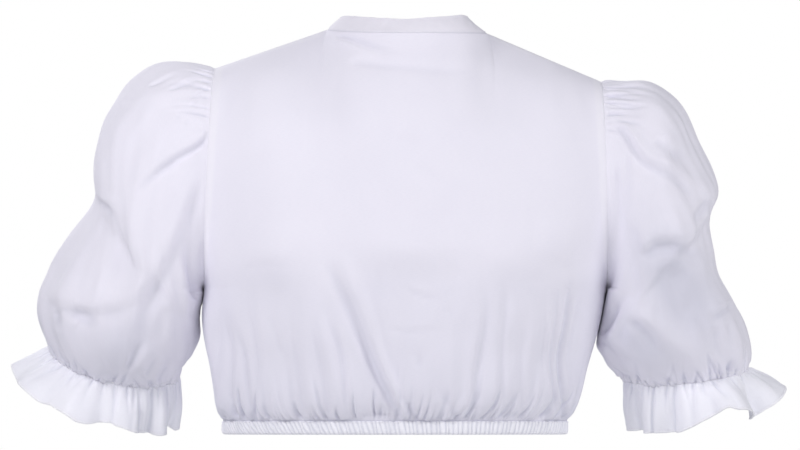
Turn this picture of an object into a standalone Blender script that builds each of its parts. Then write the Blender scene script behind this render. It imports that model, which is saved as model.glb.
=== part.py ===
"""Cropped white blouse with puffed elbow sleeves, in the hollow shape that it has when worn.

Frame: +X is the wearer's left, -Y the front, +Z up. The origin lies midway between the two neck points,
where the shoulder seams meet the collar. Sizes and tables are in millimetres, angles in degrees, and MM
turns them into Blender's metres.

Every piece of cloth is a wall: a grid of outer points, the same grid set inward, and a rim round each
free edge. Front and back meet in the plane y = 0, along the side seams and the shoulder seams.
"""

import math
from collections import namedtuple

import bpy
import numpy as np

MM = 0.001

# Cloth and seams
CLOTH = 1.4
COLLAR_CLOTH = 2.0
CASING_CLOTH = 2.4
SEAM_GAP = 0.3
HALF_GAP = SEAM_GAP / 2

BACK, FRONT = 1, -1
LEFT, RIGHT = 1, -1

# Torso: half a section is a superellipse from the centre line to the side seam.
HEM_TOP = -368.0
UNDERARM = -241.0
SECTION_POWER = 2.4
ARMHOLE_DEPTH = 61.0
HEM_RISE, HEM_RISE_TOP = 4.5, -322.0  # how much higher the hem is at the centre back, and where that ends
Section = namedtuple("Section", "height left right")
TORSO = (
    Section(HEM_TOP, 170, -155),
    Section(-362, 175, -161),
    Section(-354, 178, -165.5),
    Section(-341, 180.5, -170.5),
    Section(-322, 184.5, -176),
    Section(-298, 189, -182.5),
    Section(-270, 191, -188),
    Section(UNDERARM, 188.5, -193),
)
Depth = namedtuple("Depth", "height back front")
TORSO_DEPTH = (
    Depth(HEM_TOP, 98, 100),
    Depth(-362, 104, 106),
    Depth(-354, 109, 112),
    Depth(-341, 113.5, 118),
    Depth(-322, 116.5, 124),
    Depth(-298, 118, 129),
    Depth(-270, 117.5, 132.5),
    Depth(UNDERARM, 116, 134),
    Depth(-200, 113, 133.5),
    Depth(-160, 109, 129),
    Depth(-120, 103.5, 119),
    Depth(-80, 95.5, 103),
    Depth(-40, 84, 86),
    Depth(5, 70, 74),
)

# Shoulders and neckline
Point = namedtuple("Point", "x z")
SHOULDER = {LEFT: Point(179, -34), RIGHT: Point(-188, -46.5)}
NECK_POINT = {LEFT: Point(72, 3), RIGHT: Point(-81, -1)}
NECK_SHARE = 0.42  # how far from the centre line to the side the neck point's column lies
NECK_DEPTH = {BACK: 62.0, FRONT: 74.0}
NECK_CENTRE = {BACK: -3.0, FRONT: -62.0}
CROWN_START = 0.62  # share of the armhole's height where the back turns over towards the neck
CROWN_POWER = 1.7
EASE_PASSES, EASE_REACH = 14, 3.2  # smoothing of the grid round the neck points, in cells

# Front slit, from the throat down
SLIT_HALF_WIDTH = 13.0
SLIT_ROW = 4  # the armhole row that the slit ends on

# Collar band
COLLAR_END_HEIGHT = 0.6  # share of its height left at the two rounded ends
COLLAR_ROWS = 2
Stand = namedtuple("Stand", "angle height lean")  # 0 at the centre back, 90 at the side, 180 in front
COLLAR = {
    LEFT: (Stand(0, 20, 43), Stand(60, 21, 42), Stand(90, 20.5, 43), Stand(180, 20, 43)),
    RIGHT: (Stand(0, 20, 43), Stand(45, 22.5, 36), Stand(65, 25, 40), Stand(90, 24, 52), Stand(180, 20, 43)),
}

# Hem casing with gathered elastic
CASING_HEIGHT = 13.0
CASING_BULGE = 1.6
CASING_RIBS = 30  # in each half
RIB_HEIGHT = 0.8

# Grid sizes
NECK_COLUMNS = 9
SHOULDER_COLUMNS = 15
ARMHOLE_ROWS = 9
SLEEVE_COLUMNS = 44

# Gathers, as the height of their ridges and how far they reach
HEM_GATHER, HEM_GATHER_REACH = 1.5, 26.0
HEAD_GATHER, HEAD_GATHER_ROWS, HEAD_GATHER_SPREAD = 1.6, 4, 85.0
CUFF_GATHER, CUFF_GATHER_ROWS = 1.7, 3

# Folds: a trough, or a ridge where depth is negative, between two points of the front or back view.
Fold = namedtuple("Fold", "from_x from_z to_x to_z width depth")
BACK_FOLDS = (
    Fold(6, -360, 72, -224, 8, 4.5),
    Fold(-8, -350, 46, -240, 10, -2.5),
    Fold(54, -356, 80, -280, 7, 2.5),
    Fold(96, -356, 113, -285, 8, 2.5),
    Fold(117, -352, 136, -290, 8, 2.5),
    Fold(146, -350, 166, -280, 8, 3.0),
    Fold(-14, -352, -10, -300, 8, 2.5),
    Fold(-59, -356, -52, -312, 7, 2.5),
    Fold(-66, -340, -96, -228, 12, 2.5),
    Fold(-118, -352, -108, -290, 8, 2.0),
    Fold(-143, -350, -147, -230, 7, 3.0),
    Fold(-155, -350, -161, -236, 6, 3.5),
    Fold(60, -28, -92, -38, 8, 2.0),
)
FRONT_FOLDS = (
    Fold(-4, -358, -26, -262, 9, 3.5),
    Fold(28, -356, 40, -256, 9, 3.5),
    Fold(64, -354, 84, -240, 9, 3.5),
    Fold(98, -352, 118, -268, 8, 3.0),
    Fold(130, -350, 146, -280, 8, 3.0),
    Fold(-46, -356, -62, -248, 9, 3.5),
    Fold(-84, -352, -104, -262, 8, 3.0),
    Fold(-116, -350, -134, -272, 8, 3.0),
    Fold(150, -120, 118, -160, 10, 2.0),
    Fold(-158, -126, -124, -168, 10, 2.0),
)

# Sleeves: each ring goes from its outer to its inner point, with a half depth in Y about middle_y.
# tilt lowers the ring's back edge, as the sleeve swings forward.
Ring = namedtuple("Ring", "out_x out_z in_x in_z depth middle_y tilt")
SLEEVE_RINGS = {
    LEFT: (
        Ring(179, -34, 188.5, -241, ARMHOLE_DEPTH, 0, 0),
        Ring(202, -29, 191, -247, 67, 0, 0),
        Ring(231, -30, 192, -252, 73, 0, 0),
        Ring(250.5, -38.5, 192.5, -256, 78, -1, 0),
        Ring(270.5, -60, 193, -260, 81, -2, 1),
        Ring(285, -85, 193, -264, 82, -4, 2),
        Ring(292.5, -112, 193, -268, 82, -6, 4),
        Ring(295, -140, 193.5, -272, 81, -9, 6),
        Ring(295, -159, 193.5, -276, 79, -12, 8),
        Ring(312.5, -186, 193.5, -280, 80, -16, 10),
        Ring(331.5, -215, 193.5, -286, 80, -21, 13),
        Ring(345, -244, 195.5, -293, 79, -27, 16),
        Ring(348, -265, 200, -301, 75, -32, 18),
        Ring(344.5, -285, 206, -312, 65, -37, 21),
        Ring(337.5, -303, 214.5, -328, 46, -41, 23),
    ),
    RIGHT: (
        Ring(-188, -46.5, -194, -241, ARMHOLE_DEPTH, 0, 0),
        Ring(-208, -46, -195.5, -247, 67, 0, 0),
        Ring(-231, -47, -194.5, -252, 73, 0, 0),
        Ring(-251, -57, -193, -256, 77, -1, 0),
        Ring(-266, -74, -192, -260, 80, -2, 1),
        Ring(-275.5, -94, -191, -264, 81, -4, 2),
        Ring(-285, -115, -190.5, -268, 81, -5, 3),
        Ring(-295.5, -138, -189.5, -272, 81, -7, 4),
        Ring(-297, -157, -188.5, -276, 80, -9, 5),
        Ring(-290, -175, -187.5, -280, 79, -12, 6),
        Ring(-295, -197, -186.5, -285, 80, -15, 6),
        Ring(-301, -225, -185.5, -291, 80, -18, 7),
        Ring(-314, -254, -185, -298, 78, -22, 7),
        Ring(-325.5, -278, -190, -306, 74, -26, 8),
        Ring(-331, -301, -199, -318, 64, -29, 8),
        Ring(-330, -321, -212, -332, 46, -31, 8),
    ),
}
SLEEVE_FOLDS = {
    LEFT: (
        Fold(181, -90, 232, -142, 8, 6.0),
        Fold(190, -130, 222, -226, 9, 5.0),
        Fold(222, -226, 262, -262, 9, 4.0),
        Fold(292, -158, 274, -188, 7, 7.0),
        Fold(234, -254, 264, -322, 9, 4.5),
        Fold(306, -272, 300, -290, 7, 3.5),
        Fold(208, -302, 234, -330, 7, 3.5),
    ),
    RIGHT: (
        Fold(-196, -88, -254, -142, 8, 5.0),
        Fold(-254, -142, -288, -164, 7, 5.0),
        Fold(-292, -172, -282, -180, 7, 7.0),
        Fold(-236, -104, -280, -120, 10, 3.5),
        Fold(-244, -206, -296, -250, 14, 4.0),
        Fold(-206, -126, -208, -232, 8, 4.0),
        Fold(-222, -278, -262, -330, 8, 4.5),
        Fold(-202, -298, -238, -334, 7, 3.5),
    ),
}
SLEEVE_FRONT_FOLDS = (
    Fold(196, -96, 250, -150, 9, 5.0),
    Fold(204, -140, 236, -240, 9, 4.5),
    Fold(300, -170, 280, -204, 8, 4.0),
    Fold(240, -250, 262, -312, 9, 4.0),
    Fold(296, -262, 290, -304, 8, 3.5),
)

# Cuff ruffles: the flare from the sleeve's axis at angles round the cuff, 0 outside and 90 at the back.
RUFFLE_LENGTH = {LEFT: 45.0, RIGHT: 44.0}
RUFFLE_ROWS = 3
RUFFLE_COLUMNS = 60
RUFFLE_LIFT = 14.0  # how much more it flares at the gathers than at its mean
RUFFLE_DROOP = 12.0  # and how much less at its edge
RUFFLE_HANG = 1.0  # how much its own weight turns it from the sleeve's axis to straight down
Wave = namedtuple("Wave", "angle flare")
RUFFLE_WAVES = {
    LEFT: (
        Wave(0, 54), Wave(16, 46), Wave(34, 52), Wave(52, 38), Wave(68, 42), Wave(86, 12), Wave(104, 22),
        Wave(122, -2), Wave(140, 8), Wave(158, -8), Wave(176, 4), Wave(196, -8), Wave(216, 12), Wave(234, 0),
        Wave(252, 22), Wave(270, 6), Wave(288, 32), Wave(306, 22), Wave(324, 48), Wave(342, 44),
    ),
    RIGHT: (
        Wave(2, 54), Wave(16, 46), Wave(32, 10), Wave(46, 34), Wave(62, 56), Wave(78, 38), Wave(92, 28),
        Wave(108, 0), Wave(126, 8), Wave(144, -8), Wave(162, 2), Wave(180, -12), Wave(198, 2), Wave(216, -4),
        Wave(234, 20), Wave(252, 8), Wave(270, 34), Wave(288, 36), Wave(306, 54), Wave(324, 36), Wave(344, 56),
    ),
}

# Finish of the cotton: colour, roughness and metallic value of each piece's material
Finish = namedtuple("Finish", "red green blue roughness metallic")
COTTON = Finish(0.87, 0.86, 0.91, 0.85, 0.0)
CRISP_COTTON = Finish(0.90, 0.90, 0.94, 0.82, 0.0)

WELD = 0.01  # grid points this near each other are one


class Sheet:
    """One grid of outer points, rows by columns, with its relief and the planes that its edges end on."""

    def __init__(self, points, relief=None):
        self.points = np.asarray(points, float)
        self.relief = np.zeros(self.points.shape[:2]) if relief is None else relief
        self.ends = []

    def end_on(self, rows, columns, plane):
        """Keeps the wall's end face, at these rows and columns, in planes with these normals."""
        index = np.arange(self.relief.size).reshape(self.relief.shape)[rows, columns].ravel()
        self.ends.append((index, np.broadcast_to(np.asarray(plane, float), (len(index), 3))))


def unit(vectors):
    return vectors / np.linalg.norm(vectors, axis=-1, keepdims=True)


def smooth(keys, values, at):
    """Values on a smooth curve through a table's rows, at the given keys."""
    keys, values = np.asarray(keys, float), np.asarray(values, float)
    slopes = np.gradient(values, keys)
    i = np.clip(np.searchsorted(keys, at) - 1, 0, len(keys) - 2)
    span = keys[i + 1] - keys[i]
    t = (np.clip(at, keys[0], keys[-1]) - keys[i]) / span
    rise = values[i + 1] - values[i]
    bend_in, bend_out = slopes[i] * span - rise, rise - slopes[i + 1] * span
    return values[i] + t * rise + t * (1 - t) * ((1 - t) * bend_in + t * bend_out)


def column(table, name):
    return [getattr(row, name) for row in table]


def fade(value, start, end):
    """1 up to start, 0 from end, and smooth between them."""
    t = np.clip((value - start) / (end - start), 0, 1)
    return 1 - t * t * (3 - 2 * t)


def fold_relief(points, folds, weight=1.0):
    """How far the folds press the points in, negative, or lift them, positive."""
    x, z = points[..., 0], points[..., 2]
    relief = np.zeros(x.shape)
    for fold in folds:
        along = np.array([fold.to_x - fold.from_x, fold.to_z - fold.from_z], float)
        share = ((x - fold.from_x) * along[0] + (z - fold.from_z) * along[1]) / (along @ along)
        share = np.clip(share, 0, 1)
        away = np.hypot(x - fold.from_x - share * along[0], z - fold.from_z - share * along[1])
        relief -= fold.depth * (1 - 0.6 * share**2) * np.exp(-((away / fold.width) ** 2))
    return relief * weight


def welded(sheets):
    """(points, quads, first, index): the sheets' grids as one mesh, with equal points made one."""
    points = np.concatenate([sheet.points.reshape(-1, 3) for sheet in sheets])
    quads, start = [], 0
    for sheet in sheets:
        rows, columns = sheet.relief.shape
        at = start + np.arange(rows * columns).reshape(rows, columns)
        corners = [at[:-1, :-1], at[:-1, 1:], at[1:, 1:], at[1:, :-1]]
        quads.append(np.stack([corner.ravel() for corner in corners], axis=1))
        start += rows * columns
    keys = np.round(points / WELD).astype(np.int64)
    _, first, index = np.unique(keys, axis=0, return_index=True, return_inverse=True)
    index = index.ravel()
    return points[first], index[np.concatenate(quads)], first, index


def normals(points, quads):
    """Unit normals at the points, from the quads that meet there."""
    a, b, c, d = (points[quads[:, i]] for i in range(4))
    facing = np.cross(c - a, d - b)
    total = np.zeros_like(points)
    for i in range(4):
        np.add.at(total, quads[:, i], facing)
    return unit(total)


def inward_of(outer, quads, sheets, index):
    """Which way the wall goes in at each point: against the normal, but along the plane of any end face."""
    inward = -normals(outer, quads)
    planes = {}
    start = 0
    for sheet in sheets:
        for local, plane in sheet.ends:
            for vertex, normal in zip(index[start + local], plane):
                planes.setdefault(int(vertex), []).append(unit(normal))
        start += sheet.relief.size
    for vertex, kept in planes.items():
        way = inward[vertex]
        way = way - (way @ kept[0]) * kept[0]
        others = [plane for plane in kept[1:] if abs(plane @ kept[0]) < 0.999]
        if others:
            line = np.cross(kept[0], others[0])
            way = line * np.sign(line @ way)
        inward[vertex] = unit(way)
    return inward


def solid_mesh(name, outer, inner, quads, material):
    """An object of the closed wall between two copies of the same quads."""
    count = len(outer)
    edges = np.concatenate([quads[:, [i, (i + 1) % 4]] for i in range(4)])
    used = {tuple(edge) for edge in edges}
    rim = [(b, a, a + count, b + count) for a, b in edges if (b, a) not in used]
    faces = [tuple(quad) for quad in quads] + [tuple(quad[::-1] + count) for quad in quads] + rim
    mesh = bpy.data.meshes.new(name)
    vertices = np.concatenate([outer, inner]) * MM
    mesh.from_pydata(vertices.tolist(), [], [[int(v) for v in face] for face in faces])
    mesh.shade_smooth()
    mesh.set_sharp_from_angle(angle=math.radians(50))
    mesh.materials.append(material)
    piece = bpy.data.objects.new(name, mesh)
    bpy.context.scene.collection.objects.link(piece)
    return piece


def cloth_piece(name, sheets, thickness, material):
    """A wall of even thickness on the sheets' outer points, with their relief."""
    points, quads, first, index = welded(sheets)
    relief = np.concatenate([sheet.relief.ravel() for sheet in sheets])[first]
    outer = points - inward_of(points, quads, sheets, index) * relief[:, None]
    inner = outer + inward_of(outer, quads, sheets, index) * thickness
    return solid_mesh(name, outer, inner, quads, material)


def centre_x(height):
    """Where the torso's centre line lies in x."""
    keys = column(TORSO, "height")
    middle = [(row.left + row.right) / 2 for row in TORSO]
    return float(smooth(keys, middle, height))


def side_x(hand, height):
    name = "left" if hand == LEFT else "right"
    return float(smooth(column(TORSO, "height"), column(TORSO, name), height))


def torso_depth(facing, heights):
    name = "back" if facing == BACK else "front"
    return smooth(column(TORSO_DEPTH, "height"), column(TORSO_DEPTH, name), heights)


def column_shares():
    """(share across, share of depth) of each column of half a section, from the centre line to the side."""
    neck = NECK_SHARE * np.arange(NECK_COLUMNS) / NECK_COLUMNS
    start = math.asin(NECK_SHARE ** (SECTION_POWER / 2))
    angles = np.linspace(start, math.pi / 2, SHOULDER_COLUMNS + 1)
    across = np.concatenate([neck, np.sin(angles) ** (2 / SECTION_POWER)])
    depth = np.clip(1 - across**SECTION_POWER, 0, 1) ** (1 / SECTION_POWER)
    return across, depth


def neck_angles(facing):
    """The neckline's angles from the centre line, 0, to the neck point, 90, for its columns."""
    half_width = (NECK_POINT[LEFT].x - NECK_POINT[RIGHT].x) / 2
    throat = math.asin(SLIT_HALF_WIDTH / half_width) if facing == FRONT else 0.0
    return np.linspace(throat, math.pi / 2, NECK_COLUMNS + 1)


def neck_edge(facing, hand, angles):
    """Points of the neckline seam: half an ellipse from above, which dips towards the centre line."""
    centre = (NECK_POINT[LEFT].x + NECK_POINT[RIGHT].x) / 2
    reach = abs(NECK_POINT[hand].x - centre)
    x = centre + hand * reach * np.sin(angles)
    y = facing * (HALF_GAP + NECK_DEPTH[facing] * np.cos(angles))
    z = NECK_POINT[hand].z + (NECK_CENTRE[facing] - NECK_POINT[hand].z) * np.cos(angles)
    return np.stack([x, y, z], axis=-1)


def collar_stand(facing, hand, angles, name):
    """The collar's height or lean at angles of the neckline."""
    from_back = np.degrees(angles if facing == BACK else math.pi - angles)
    return smooth(column(COLLAR[hand], "angle"), column(COLLAR[hand], name), from_back)


def collar_way(facing, hand, angles):
    """Unit vectors in which the collar band stands on the neckline, square to the seam."""
    step = 1e-3
    edge = neck_edge(facing, hand, angles)
    along = unit(neck_edge(facing, hand, angles + step) - neck_edge(facing, hand, angles - step))
    centre = (NECK_POINT[LEFT].x + NECK_POINT[RIGHT].x) / 2
    to_middle = unit(np.stack([centre - edge[:, 0], -edge[:, 1], np.zeros(len(edge))], axis=-1))
    lean = np.radians(collar_stand(facing, hand, angles, "lean"))[:, None]
    way = np.sin(lean) * to_middle + np.cos(lean) * np.array([0, 0, 1])
    return unit(way - (way * along).sum(-1, keepdims=True) * along)


def top_edge(facing, hand, across):
    """The panel's top edge: the neckline's columns, then the shoulder seam's."""
    neck = neck_edge(facing, hand, neck_angles(facing))
    share = (across[NECK_COLUMNS:] - NECK_SHARE) / (1 - NECK_SHARE)
    start, end = NECK_POINT[hand], SHOULDER[hand]
    x = start.x + share * (end.x - start.x)
    z = start.z + share * (end.z - start.z)
    shoulder = np.stack([x, np.full(len(x), facing * HALF_GAP), z], axis=-1)
    return np.concatenate([neck[:NECK_COLUMNS], shoulder])


def lower_row(facing, hand, height, across, depth):
    """One section of half a panel, below the armhole."""
    middle = centre_x(height)
    x = middle + across * (side_x(hand, height) - middle)
    y = facing * (HALF_GAP + torso_depth(facing, height) * depth)
    return np.stack([x, y, height + hem_rise(facing, height) * depth], axis=-1)


def hem_rise(facing, height):
    """How much higher a section lies at the centre back than at the sides."""
    return HEM_RISE * fade(height, HEM_TOP, HEM_RISE_TOP) * (facing == BACK)


def armhole_row(facing, hand, share, across, depth):
    """One row of half a panel between the underarm, share 0, and the top edge, share 1."""
    top = top_edge(facing, hand, across)
    under = lower_row(facing, hand, UNDERARM, across, depth)
    turn = 0.5 + (CROWN_START - 0.5) * (1 - across**2)
    over = np.clip((share - turn) / (1 - turn), 0, 1)
    round_crown = np.sqrt(1 - over**2)
    z = (1 - share) * under[:, 2] + share * top[:, 2]
    even_top = top[0, 0] + (NECK_POINT[hand].x - top[0, 0]) * np.minimum(across / NECK_SHARE, 1)
    even_top = np.where(across < NECK_SHARE, even_top, top[:, 0])
    x = (1 - share) * under[:, 0] + share * even_top + (top[:, 0] - even_top) * (1 - round_crown)
    if facing == FRONT:
        slit_end = armhole_shares()[SLIT_ROW]
        opened = max(0.0, (share - slit_end) / (1 - slit_end))
        x += hand * SLIT_HALF_WIDTH * (opened - share) * (1 - across) ** 2
    armhole = ARMHOLE_DEPTH * (math.sqrt(1 - (2 * share - 1) ** 2) if share < 0.5 else 1)
    whole = torso_depth(facing, z)
    cut = 1 - (armhole / whole) ** SECTION_POWER
    full = whole * np.clip(1 - cut * across**SECTION_POWER, 0, 1) ** (1 / SECTION_POWER)
    at_neck = fade(across, 0.3 * NECK_SHARE, NECK_SHARE)
    crown = at_neck * (1 - over**CROWN_POWER) + (1 - at_neck) * round_crown
    rest = np.abs(top[:, 1]) - HALF_GAP
    y = facing * (HALF_GAP + rest + (full - rest) * crown)
    return np.stack([x, y, z], axis=-1)


def eased(points):
    """The grid with its cells near the neck point evened out, and its edges as they were."""
    rows, columns = points.shape[:2]
    down = rows - 1 - np.arange(rows)[:, None]
    beside = np.arange(columns)[None, :] - NECK_COLUMNS
    share = 0.8 * np.exp(-(down**2 + beside**2) / EASE_REACH**2)
    share = share[1:-1, 1:-1, None]
    for _ in range(EASE_PASSES):
        mean = (points[:-2, 1:-1] + points[2:, 1:-1] + points[1:-1, :-2] + points[1:-1, 2:]) / 4
        points[1:-1, 1:-1] += share * (mean - points[1:-1, 1:-1])
    return points


def armhole_shares():
    """Shares of the armhole's height, close together at its two ends."""
    return (1 - np.cos(np.linspace(0, math.pi, ARMHOLE_ROWS + 1))) / 2


def half_panel(facing, hand, folds):
    """The left or right half of the front or back, from the hem to the neckline and shoulder."""
    across, depth = column_shares()
    rows = [lower_row(facing, hand, row.height, across, depth) for row in TORSO]
    rows += [armhole_row(facing, hand, share, across, depth) for share in armhole_shares()[1:]]
    points = eased(np.array(rows))
    heights = points[..., 2]
    clear_of_sleeve = fade(across, 0.84, 0.99)
    ridge = np.where(np.arange(len(across)) % 2, 1.0, -1.0)
    gather = HEM_GATHER * ridge * fade(heights, HEM_TOP, HEM_TOP + HEM_GATHER_REACH) * (across < 1)
    relief = fold_relief(points, folds, clear_of_sleeve) + gather
    relief[-1] = 0
    relief[:, -1] = 0
    sheet = Sheet(points, relief)
    below = slice(0, len(TORSO))
    sheet.end_on(slice(0, 1), slice(None), (0, 0, 1))
    sheet.end_on(below, slice(-1, None), (0, 1, 0))
    sheet.end_on(slice(-1, None), slice(NECK_COLUMNS, None), (0, 1, 0))
    neckline = slice(0, NECK_COLUMNS + 1)
    sheet.end_on(slice(-1, None), neckline, collar_way(facing, hand, neck_angles(facing)))
    return sheet


def mirrored_order(sheet):
    """The sheet with its columns turned round, so that its faces look the other way."""
    rows, columns = sheet.relief.shape
    turned = Sheet(sheet.points[:, ::-1], sheet.relief[:, ::-1])
    for local, plane in sheet.ends:
        row, at = np.divmod(local, columns)
        turned.ends.append((row * columns + columns - 1 - at, plane))
    return turned


def torso_panel(name, facing, folds, material):
    """The front or the back, as one piece of cloth."""
    left, right = half_panel(facing, LEFT, folds), half_panel(facing, RIGHT, folds)
    joined = slice(0, len(TORSO) + (SLIT_ROW if facing == FRONT else ARMHOLE_ROWS))
    middle = (left.points[joined, 0] + right.points[joined, 0]) / 2
    left.points[joined, 0] = right.points[joined, 0] = middle
    sheets = [mirrored_order(left), right] if facing == BACK else [left, mirrored_order(right)]
    return cloth_piece(name, sheets, CLOTH, material)


def collar_band(material):
    """A narrow stand collar, from one side of the throat round the back of the neck to the other."""
    stretches = [(FRONT, LEFT, 1), (BACK, LEFT, -1), (BACK, RIGHT, 1), (FRONT, RIGHT, -1)]
    base, way, height = [], [], []
    for facing, hand, order in stretches:
        angles = neck_angles(facing)[::order]
        edge = neck_edge(facing, hand, angles)
        edge[:, 1] *= np.abs(edge[:, 1]) > 2 * HALF_GAP
        last = len(angles) if (facing, hand) == (FRONT, RIGHT) else -1
        base.append(edge[:last])
        way.append(collar_way(facing, hand, angles)[:last])
        height.append(collar_stand(facing, hand, angles, "height")[:last])
    base, way, height = np.concatenate(base), np.concatenate(way), np.concatenate(height)
    place = np.abs(np.linspace(-1, 1, len(base)))
    height *= 1 - (1 - COLLAR_END_HEIGHT) * np.clip(place - 0.92, 0, 1) / 0.08
    levels = np.linspace(0, 1, COLLAR_ROWS + 1)
    rows = [base + way * (SEAM_GAP + level * (height[:, None] - SEAM_GAP)) for level in levels]
    sheet = Sheet(rows)
    sheet.end_on(slice(0, 1), slice(None), way)
    return cloth_piece("collar_band", [sheet], COLLAR_CLOTH, material)


def hem_casing(name, facing, material):
    """Half of the casing that holds the hem's elastic, with its ribs raised on the outside."""
    angles = np.linspace(-math.pi / 2, math.pi / 2, 2 * CASING_RIBS + 1)
    across = np.sign(np.sin(angles)) * np.abs(np.sin(angles)) ** (2 / SECTION_POWER)
    depth = np.clip(1 - np.abs(across) ** SECTION_POWER, 0, 1) ** (1 / SECTION_POWER)
    halves = np.where(across > 0, side_x(LEFT, HEM_TOP), -side_x(RIGHT, HEM_TOP))
    middle = centre_x(HEM_TOP)
    half_width = np.where(across > 0, halves - middle, halves + middle)
    inside, outside = [], []
    rib = RIB_HEIGHT * (np.arange(len(angles)) % 2)
    rib[[0, -1]] = 0
    for level, swell in ((0.0, 0.0), (0.5, CASING_BULGE), (1.0, 0.0)):
        z = HEM_TOP - SEAM_GAP - level * CASING_HEIGHT
        for grid, out in ((outside, swell + rib), (inside, -CASING_CLOTH)):
            x = middle + across * (half_width + out)
            y = facing * (HALF_GAP + depth * (torso_depth(facing, HEM_TOP) + out))
            grid.append(np.stack([x, y, z + hem_rise(facing, HEM_TOP) * depth], axis=-1))
    turn = slice(None, None, -facing)
    outer_sheet, inner_sheet = Sheet(np.array(outside)[:, turn]), Sheet(np.array(inside)[:, turn])
    outer, quads, first, _ = welded([outer_sheet])
    inner = inner_sheet.points.reshape(-1, 3)[first]
    return solid_mesh(name, outer, inner, quads[:, ::-1], material)


def ring_frame(ring):
    """(middle, towards the outer point, towards the back) of a sleeve's ring, as vectors."""
    outer = np.array([ring.out_x, ring.middle_y, ring.out_z], float)
    inner = np.array([ring.in_x, ring.middle_y, ring.in_z], float)
    tilt = math.radians(ring.tilt)
    towards_back = ring.depth * np.array([0, math.cos(tilt), -math.sin(tilt)])
    return (outer + inner) / 2, (outer - inner) / 2, towards_back


def ring_points(ring, angles):
    middle, outward, backward = ring_frame(ring)
    return middle + np.cos(angles)[:, None] * outward + np.sin(angles)[:, None] * backward


def ring_axis(ring, hand):
    """Unit normal of a ring's plane, pointing down the sleeve."""
    _, outward, backward = ring_frame(ring)
    return unit(np.cross(backward, outward) * hand)


def sleeve(name, hand, material):
    """A puffed sleeve, gathered into the armhole and at the elbow."""
    rings = SLEEVE_RINGS[hand]
    angles = np.linspace(0, 2 * math.pi, SLEEVE_COLUMNS + 1)
    points = np.array([ring_points(ring, angles) for ring in rings])
    points[:, -1] = points[:, 0]
    points[0] += ring_axis(rings[0], hand) * SEAM_GAP
    points[-1] -= ring_axis(rings[-1], hand) * HALF_GAP
    row = np.arange(len(rings))[:, None]
    to_back = np.sin(angles)[None, :]
    ridge = np.where(np.arange(SLEEVE_COLUMNS + 1) % 2, 1.0, -1.0)
    from_top = np.degrees(np.minimum(angles, 2 * math.pi - angles))
    spread = fade(from_top, HEAD_GATHER_SPREAD, HEAD_GATHER_SPREAD + 30)
    head = HEAD_GATHER * ridge * spread * fade(row, 1, HEAD_GATHER_ROWS) * (row > 0)
    cuff = CUFF_GATHER * ridge * (1 - fade(row, len(rings) - 1 - CUFF_GATHER_ROWS, len(rings) - 1.5))
    back_weight = 1 - fade(to_back, -0.25, 0.25)
    facing_folds = [fold._replace(from_x=hand * fold.from_x, to_x=hand * fold.to_x)
                    for fold in SLEEVE_FRONT_FOLDS]
    relief = head + cuff
    relief += fold_relief(points, SLEEVE_FOLDS[hand], back_weight)
    relief += fold_relief(points, facing_folds, 1 - back_weight)
    relief *= np.clip(row / 2, 0, 1) * (1 - 0.5 * (row == len(rings) - 1))
    beside_body = fade(np.abs(np.degrees(angles) - 180), 20, 55) * fade(row, len(rings) - 5, len(rings) - 2)
    relief *= 1 - beside_body
    relief[:, -1] = relief[:, 0]
    sheet = Sheet(points, relief)
    for at, ring in ((slice(0, 1), rings[0]), (slice(-1, None), rings[-1])):
        sheet.end_on(at, slice(None), ring_axis(ring, hand))
    return cloth_piece(name, [sheet if hand == RIGHT else mirrored_order(sheet)], CLOTH, material)


def cuff_ruffle(name, hand, material):
    """The frill below the sleeve's elastic, flared and waved."""
    cuff = SLEEVE_RINGS[hand][-1]
    waves = RUFFLE_WAVES[hand]
    angles = np.linspace(0, 2 * math.pi, RUFFLE_COLUMNS + 1)
    keys = [waves[-1].angle - 360] + column(waves, "angle") + [360 + wave.angle for wave in waves[:2]]
    flares = [waves[-1].flare] + column(waves, "flare") + [wave.flare for wave in waves[:2]]
    flare = smooth(keys, flares, np.degrees(angles))
    middle, axis = ring_frame(cuff)[0], ring_axis(cuff, hand)
    down = unit(axis + RUFFLE_HANG * np.array([0, 0, -1]))
    points = ring_points(cuff, angles)
    outward = unit(points - middle)
    rows = [points + axis * HALF_GAP]
    for step in range(RUFFLE_ROWS):
        share = (step + 0.5) / RUFFLE_ROWS
        lean = np.radians(flare + RUFFLE_LIFT * (1 - share) - RUFFLE_DROOP * share)
        way = np.cos(lean)[:, None] * down + np.sin(lean)[:, None] * outward
        rows.append(rows[-1] + way * RUFFLE_LENGTH[hand] / RUFFLE_ROWS)
    points = np.array(rows)
    points[:, -1] = points[:, 0]
    sheet = Sheet(points)
    sheet.end_on(slice(0, 1), slice(None), axis)
    return cloth_piece(name, [sheet if hand == RIGHT else mirrored_order(sheet)], CLOTH, material)


def finish_material(name, finish):
    material = bpy.data.materials.new(name)
    material.use_nodes = True
    shader = material.node_tree.nodes["Principled BSDF"]
    shader.inputs["Base Color"].default_value = (finish.red, finish.green, finish.blue, 1)
    shader.inputs["Roughness"].default_value = finish.roughness
    shader.inputs["Metallic"].default_value = finish.metallic
    return material


def clear_scene():
    for thing in list(bpy.data.objects):
        bpy.data.objects.remove(thing, do_unlink=True)


def main():
    clear_scene()
    torso_panel("back_panel", BACK, BACK_FOLDS, finish_material("back_cotton", COTTON))
    torso_panel("front_panel", FRONT, FRONT_FOLDS, finish_material("front_cotton", COTTON))
    collar_band(finish_material("collar_cotton", CRISP_COTTON))
    hem_casing("hem_casing_back", BACK, finish_material("casing_back_cotton", CRISP_COTTON))
    hem_casing("hem_casing_front", FRONT, finish_material("casing_front_cotton", CRISP_COTTON))
    for side, hand in (("left", LEFT), ("right", RIGHT)):
        sleeve(f"sleeve_{side}", hand, finish_material(f"sleeve_{side}_cotton", COTTON))
        cuff_ruffle(f"cuff_ruffle_{side}", hand, finish_material(f"ruffle_{side}_cotton", CRISP_COTTON))


main()
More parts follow.
